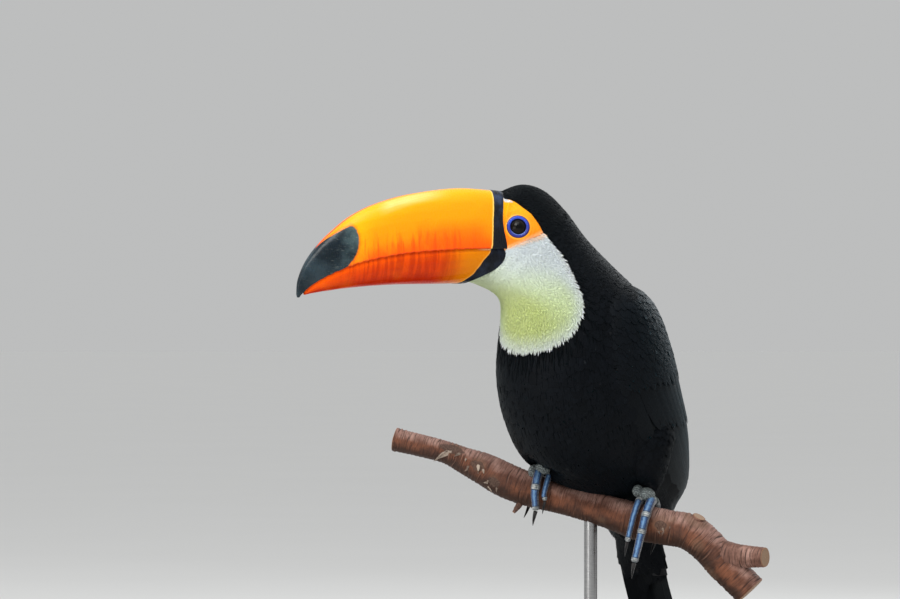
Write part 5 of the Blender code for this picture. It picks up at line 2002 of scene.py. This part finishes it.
def with_cut_ends(rings, marks, ends):
    """Adds the rows of a sawn face at the chosen ends, and marks them with their share of the radius."""
    marks = {**marks, "cut": np.full(rings.shape[:2], -1.0)}
    shares = np.array((0.985, 0.95, 0.88, 0.76, 0.62, 0.47, 0.32, 0.17, 0.05))
    for end in ends:
        edge, middle = rings[end], rings[end].mean(0)
        out = unit(middle - rings[1 if end == 0 else -2].mean(0))
        proud = np.where(shares < 0.96, 0.5, 0.35)[:, None, None]
        rows = middle + (edge - middle) * shares[:, None, None] + out * proud * MM
        added = {key: np.repeat(values[[end]], len(shares), 0) for key, values in marks.items()}
        added["cut"] = shares[:, None] * np.ones(rings.shape[1])
        if end == 0:
            rings = np.concatenate((rows[::-1], rings))
            marks = {key: np.concatenate((added[key][::-1], values)) for key, values in marks.items()}
        else:
            rings = np.concatenate((rings, rows))
            marks = {key: np.concatenate((values, added[key])) for key, values in marks.items()}
    return rings, marks


def make_branch():
    t = np.linspace(0, len(BRANCH) - 1, 470)
    tt, gg = grid(t, whole_turn(132))
    along = rows_at(BRANCH, tt)[..., 0]
    marks = {
        "along": along, "peel": peel_at(along, gg), "knot": np.clip(patches(KNOTS, along, gg), 0, 1),
        "top": np.cos(gg), "round": gg * 12.0, "ridge": ridges_at(along, gg),
    }
    shells = [with_cut_ends(branch_surface(tt, gg), marks, (0, -1))]
    for n, (at_along, degrees, lean, thin, length, end_taper, peel) in enumerate(TWIGS):
        centre, way, radius, up, _ = branch_spot(at_along)
        side = np.cross(way, up)
        out = up * math.cos(math.radians(degrees)) + side * math.sin(math.radians(degrees))
        heading = unit(out + way * lean)
        rows = max(24, int(length * 5))
        s = np.linspace(0, 1, rows)
        reach = radius * 0.4 + (radius * 0.6 + length * MM) * s
        path = centre + heading * reach[:, None]
        ss, tt = grid(reach / MM, whole_turn(72))
        ridge = bark_ridges(ss + 40 * n, tt)
        relief = 1 + (0.25 * ridge + 0.3 * bark_lumps(ss, tt)) / thin * 0.6
        taper = np.interp(s, (0, 0.35, 0.7, 1), (1.5, 1.15, 1.0, end_taper)) * thin * MM
        rings = tube(path, taper, np.repeat(way[None], rows, 0), (np.sin(tt) * relief, np.cos(tt) * relief))
        marks = {
            "along": ss + 90, "peel": np.full(ss.shape, peel), "knot": np.full(ss.shape, 0.35),
            "top": np.full(ss.shape, 0.5), "round": tt * thin, "ridge": ridge,
        }
        shells.append(with_cut_ends(rings, marks, (-1,)))
    return tubes("bark", *shells)


def bark_look():
    look = Look("bark")
    place = look.place()
    along, peel, knot, top = look.numbers("along", "peel", "knot", "top")
    ridge, cut, around = look.numbers("ridge", "cut", "round")
    blotch = look.noise(place, 70, 5, 0.6)
    fine = look.noise(place, 900, 4, 0.65)
    marks = look.noise(look.join(along * 1.7, around * 0.05), 1.0, 4, 0.7)
    pink = look.mix((0.25, 0.135, 0.108), (0.38, 0.235, 0.195), blotch.step(0.4, 0.7))
    # The bark is painted pale pink on top, as painted light, and dark underneath, as painted shade.
    shade = top + (blotch - 0.5) * 1.2
    wood = look.mix((0.032, 0.017, 0.012), (0.12, 0.070, 0.050), fine.step(0.35, 0.7))
    # The sawn ends show rings round a pale middle, inside the bark's edge.
    rings = look.math("SINE", cut * 55.0 + blotch * 9.0)
    sawn = look.painted(
        (0.21, 0.125, 0.075),
        ((0.33, 0.215, 0.135), rings.step(-0.8, 0.9)),
        ((0.24, 0.11, 0.06), cut.step(0.86, 0.93)),
        ((0.34, 0.21, 0.12), cut.step(0.14, 0.0)),
    )
    colour = look.painted(
        (0.085, 0.030, 0.016),
        ((0.19, 0.068, 0.034), blotch.step(0.35, 0.68)),
        # Painted light on the top, and painted shade underneath.
        (pink, shade.step(0.15, 0.80, 0.9)),
        ((0.032, 0.014, 0.008), shade.step(0.05, -0.70, 0.9)),
        ((0.035, 0.014, 0.009), marks.step(0.50, 0.62, 0.78)),
        ((0.028, 0.012, 0.008), ridge.step(-0.25, -0.9, 0.85)),
        ((0.33, 0.18, 0.13), ridge.step(0.5, 1.3, 0.35)),
        ((0.14, 0.075, 0.045), knot.step(0.3, 0.9, 0.5)),
        (wood, peel.step(0.35, 0.75, 0.8)),
        (sawn, cut.step(-0.5, 0.0)),
        ((0.02, 0.01, 0.006), fine.step(0.58, 0.8, 0.35)),
    )
    return look.set(
        Base_Color=colour,
        Roughness=blotch.step(0.3, 0.75, 0.82, 0.62),
        Normal=look.bump(marks * 0.9 + fine * 0.6, 0.0006, 0.6),
        Specular_IOR_Level=0.3,
    )


FLAKE = VaneKind(
    (0, 0.12, 0.3, 0.5, 0.7, 0.87, 1.0), (0.55, 0.9, 1.0, 0.84, 0.6, 0.32, 0.06), (-1, -0.5, 0, 0.5, 1),
    0.25, 0.4, ragged=0.08,
)
# Each flake: along, angle, length, half width, heading round the branch in degrees, tip height, paleness.
FLAKES = (
    (-99, 24, 27, 2.8, -46, 2.8, 0.7), (-97, 40, 10, 1.6, -60, 1.8, 0.35), (-104, 70, 7, 1.1, -15, 1.2, 0.15),
    (-95, 62, 6, 1.2, -120, 1.6, 0.5), (-87, 58, 13, 1.7, -128, 2.4, 0.85), (-90, 78, 8, 1.4, -95, 1.5, 0.3),
    (-82, 74, 8, 1.3, -140, 1.8, 0.6), (-88, 100, 6, 1.1, -60, 1.4, 0.2), (-70, 112, 6, 1.2, -20, 2.2, 0.9),
    (-74, 128, 9, 1.2, -165, 1.8, 0.7), (-67, 104, 7, 1.2, -110, 1.5, 0.3), (-72, 98, 5, 1.0, -75, 1.2, 0.45),
    (57, 76, 8, 1.4, -125, 1.3, 0.25), (61, 90, 6, 1.2, -80, 1.2, 0.12), (54, 98, 6, 1.2, -150, 1.2, 0.3),
    (64, 70, 5, 1.0, -100, 1.0, 0.1),
)
FLAKE_BROWN, FLAKE_PALE = (0.075, 0.038, 0.024), (0.42, 0.34, 0.27)


def make_flakes():
    """Scales of bark that curl away from the peeled places."""
    sheet = Sheet(branch_surface, (0, len(BRANCH) - 1), (0, TURN), 320, 120, True, None)
    along, angle, length, width, heading, tip, pale = np.array(FLAKES, float).T
    u = np.interp(along, [row[0] for row in BRANCH], range(len(BRANCH)))
    coat = Coat().lay(
        sheet, FLAKE, u, np.radians(angle), length, width, -0.5, tip, mix(FLAKE_BROWN, FLAKE_PALE, pale),
        turn=-np.radians(heading), curl=1.9, shade=0.1,
    )
    look = Look("bark_flake")
    tint = look.noise(look.place(), 700, 4)
    colour = look.mix(look.colour("plumage"), (0.10, 0.05, 0.03), tint.step(0.5, 0.75, 0.7))
    look.set(Base_Color=colour, Roughness=0.75, Normal=look.bump(tint, 0.0003, 0.6))
    finish(coat.build("bark_flakes"), look, "bark")


finish(make_branch(), bark_look(), "bark", "perch_branch")
make_flakes()


# ---- The stand keeps its CAD shapes.

def lacquer_look():
    look = Look("stand_lacquer")
    wood = look.noise(look.scaled(look.place(), (18, 160, 160)), 1.0, 5, 0.6, 0.3)
    pores = look.noise(look.scaled(look.place(), (120, 1400, 1400)), 1.0, 3, 0.6)
    colour = look.painted(
        (0.030, 0.018, 0.012),
        ((0.085, 0.048, 0.028), wood.step(0.35, 0.68)),
        ((0.010, 0.006, 0.004), pores.step(0.56, 0.72, 0.6)),
    )
    return look.set(
        Base_Color=colour,
        Roughness=wood.step(0.3, 0.7, 0.42, 0.30),
        Normal=look.bump(pores, 0.0002, 0.25),
        Coat_Weight=0.25,
        Coat_Roughness=0.2,
    )


def steel_look():
    look = Look("stand_steel")
    lines = look.noise(look.scaled(look.place(), (90, 90, 4200)), 1.0, 3, 0.7)
    return look.set(
        Base_Color=look.mix((0.24, 0.24, 0.245), (0.36, 0.36, 0.36), lines.step(0.35, 0.65)),
        Metallic=1.0,
        Roughness=look.noise(look.place(), 60, 3).step(0.35, 0.7, 0.36, 0.26),
        Normal=look.bump(lines, 0.00008, 0.3),
    )


for node, look in (("stand_base", lacquer_look()), ("stand_rod", steel_look())):
    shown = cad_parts[node]
    shown.data.materials.clear()
    shown.data.materials.append(look.material)


# ---- The stage, the light and the camera.

# Half the floor's width, and the camera's place from the perch's top, in metres. The lens is in millimetres.
FLOOR_REACH, CAMERA_AT, CAMERA_LENS = 30.0, (-0.1049, -3.8, 0.1448), 200


def make_stage():
    ways = ((-1, -1), (1, -1), (1, 1), (-1, 1))
    corners = np.array([(x * FLOOR_REACH, y * FLOOR_REACH, cad_box[0][2]) for x, y in ways])
    floor = new_mesh("floor", corners, np.arange(4), [4], smooth=False)
    look = Look("pale_floor")
    tint = look.noise(look.place(), 3.0, 2)
    look.set(Base_Color=look.mix((0.69, 0.69, 0.68), (0.71, 0.71, 0.70), tint), Roughness=0.85)
    floor.data.materials.append(look.material)
    floor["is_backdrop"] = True


# Soft lamps round the bird, all turned to one point: place, width, power and colour.
LAMPS = {
    "key": ((-1.0, -1.3, 2.0), 1.2, 34, (1.0, 0.98, 0.95)),
    "sky": ((-0.3, -0.8, 2.3), 1.6, 22, (0.95, 0.98, 1.0)),
    "fill": ((-1.3, -1.3, 0.35), 1.0, 7, (1.0, 0.99, 0.97)),
    "back": ((0.9, 1.5, 1.1), 1.0, 8, (0.95, 0.98, 1.0)),
}
LIT_POINT = (0.0, 0.0, 0.3)
# The sky's colours at the horizon, which is as bright as the floor that it lights, and overhead.
HORIZON, ZENITH = (0.508, 0.513, 0.513, 1), (0.92, 0.93, 0.94, 1)


def add_lamp(name, place, width, power, colour):
    data = bpy.data.lights.new(name, "AREA")
    data.shape = "RECTANGLE"
    data.size = data.size_y = width
    data.energy = power
    data.color = colour
    lamp = bpy.data.objects.new(name, data)
    bpy.context.scene.collection.objects.link(lamp)
    lamp.location = place
    way = unit(np.array(LIT_POINT) - np.array(place))
    lamp.rotation_euler = Vector(way).to_track_quat("-Z", "Y").to_euler()


def make_light():
    world = bpy.data.worlds.new("studio")
    bpy.context.scene.world = world
    world.use_nodes = True
    nodes, links = world.node_tree.nodes, world.node_tree.links
    place, height, square, ramp = (
        nodes.new("ShaderNode" + kind) for kind in ("TexCoord", "SeparateXYZ", "Math", "Mix")
    )
    square.operation = "MULTIPLY"
    ramp.data_type = "RGBA"
    links.new(place.outputs["Generated"], height.inputs[0])
    links.new(height.outputs[2], square.inputs[0])
    links.new(height.outputs[2], square.inputs[1])
    links.new(square.outputs[0], ramp.inputs[0])
    ramp.inputs[6].default_value, ramp.inputs[7].default_value = HORIZON, ZENITH
    links.new(ramp.outputs[2], nodes["Background"].inputs["Color"])
    for name, lamp in LAMPS.items():
        add_lamp(name, *lamp)


def make_camera():
    data = bpy.data.cameras.new("camera")
    data.lens, data.sensor_width = CAMERA_LENS, 36
    data.clip_start, data.clip_end = 0.1, 100
    camera = bpy.data.objects.new("camera", data)
    bpy.context.scene.collection.objects.link(camera)
    camera.location = PERCH_TOP + np.array(CAMERA_AT)
    camera.rotation_euler = (math.pi / 2, 0, 0)
    bpy.context.scene.camera = camera


make_stage()
bpy.context.scene.view_settings.view_transform = "Standard"
make_light()
make_camera()

bpy.context.view_layer.update()
boxes = [[list(corner) for corner in box] for box in (cad_box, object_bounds())]
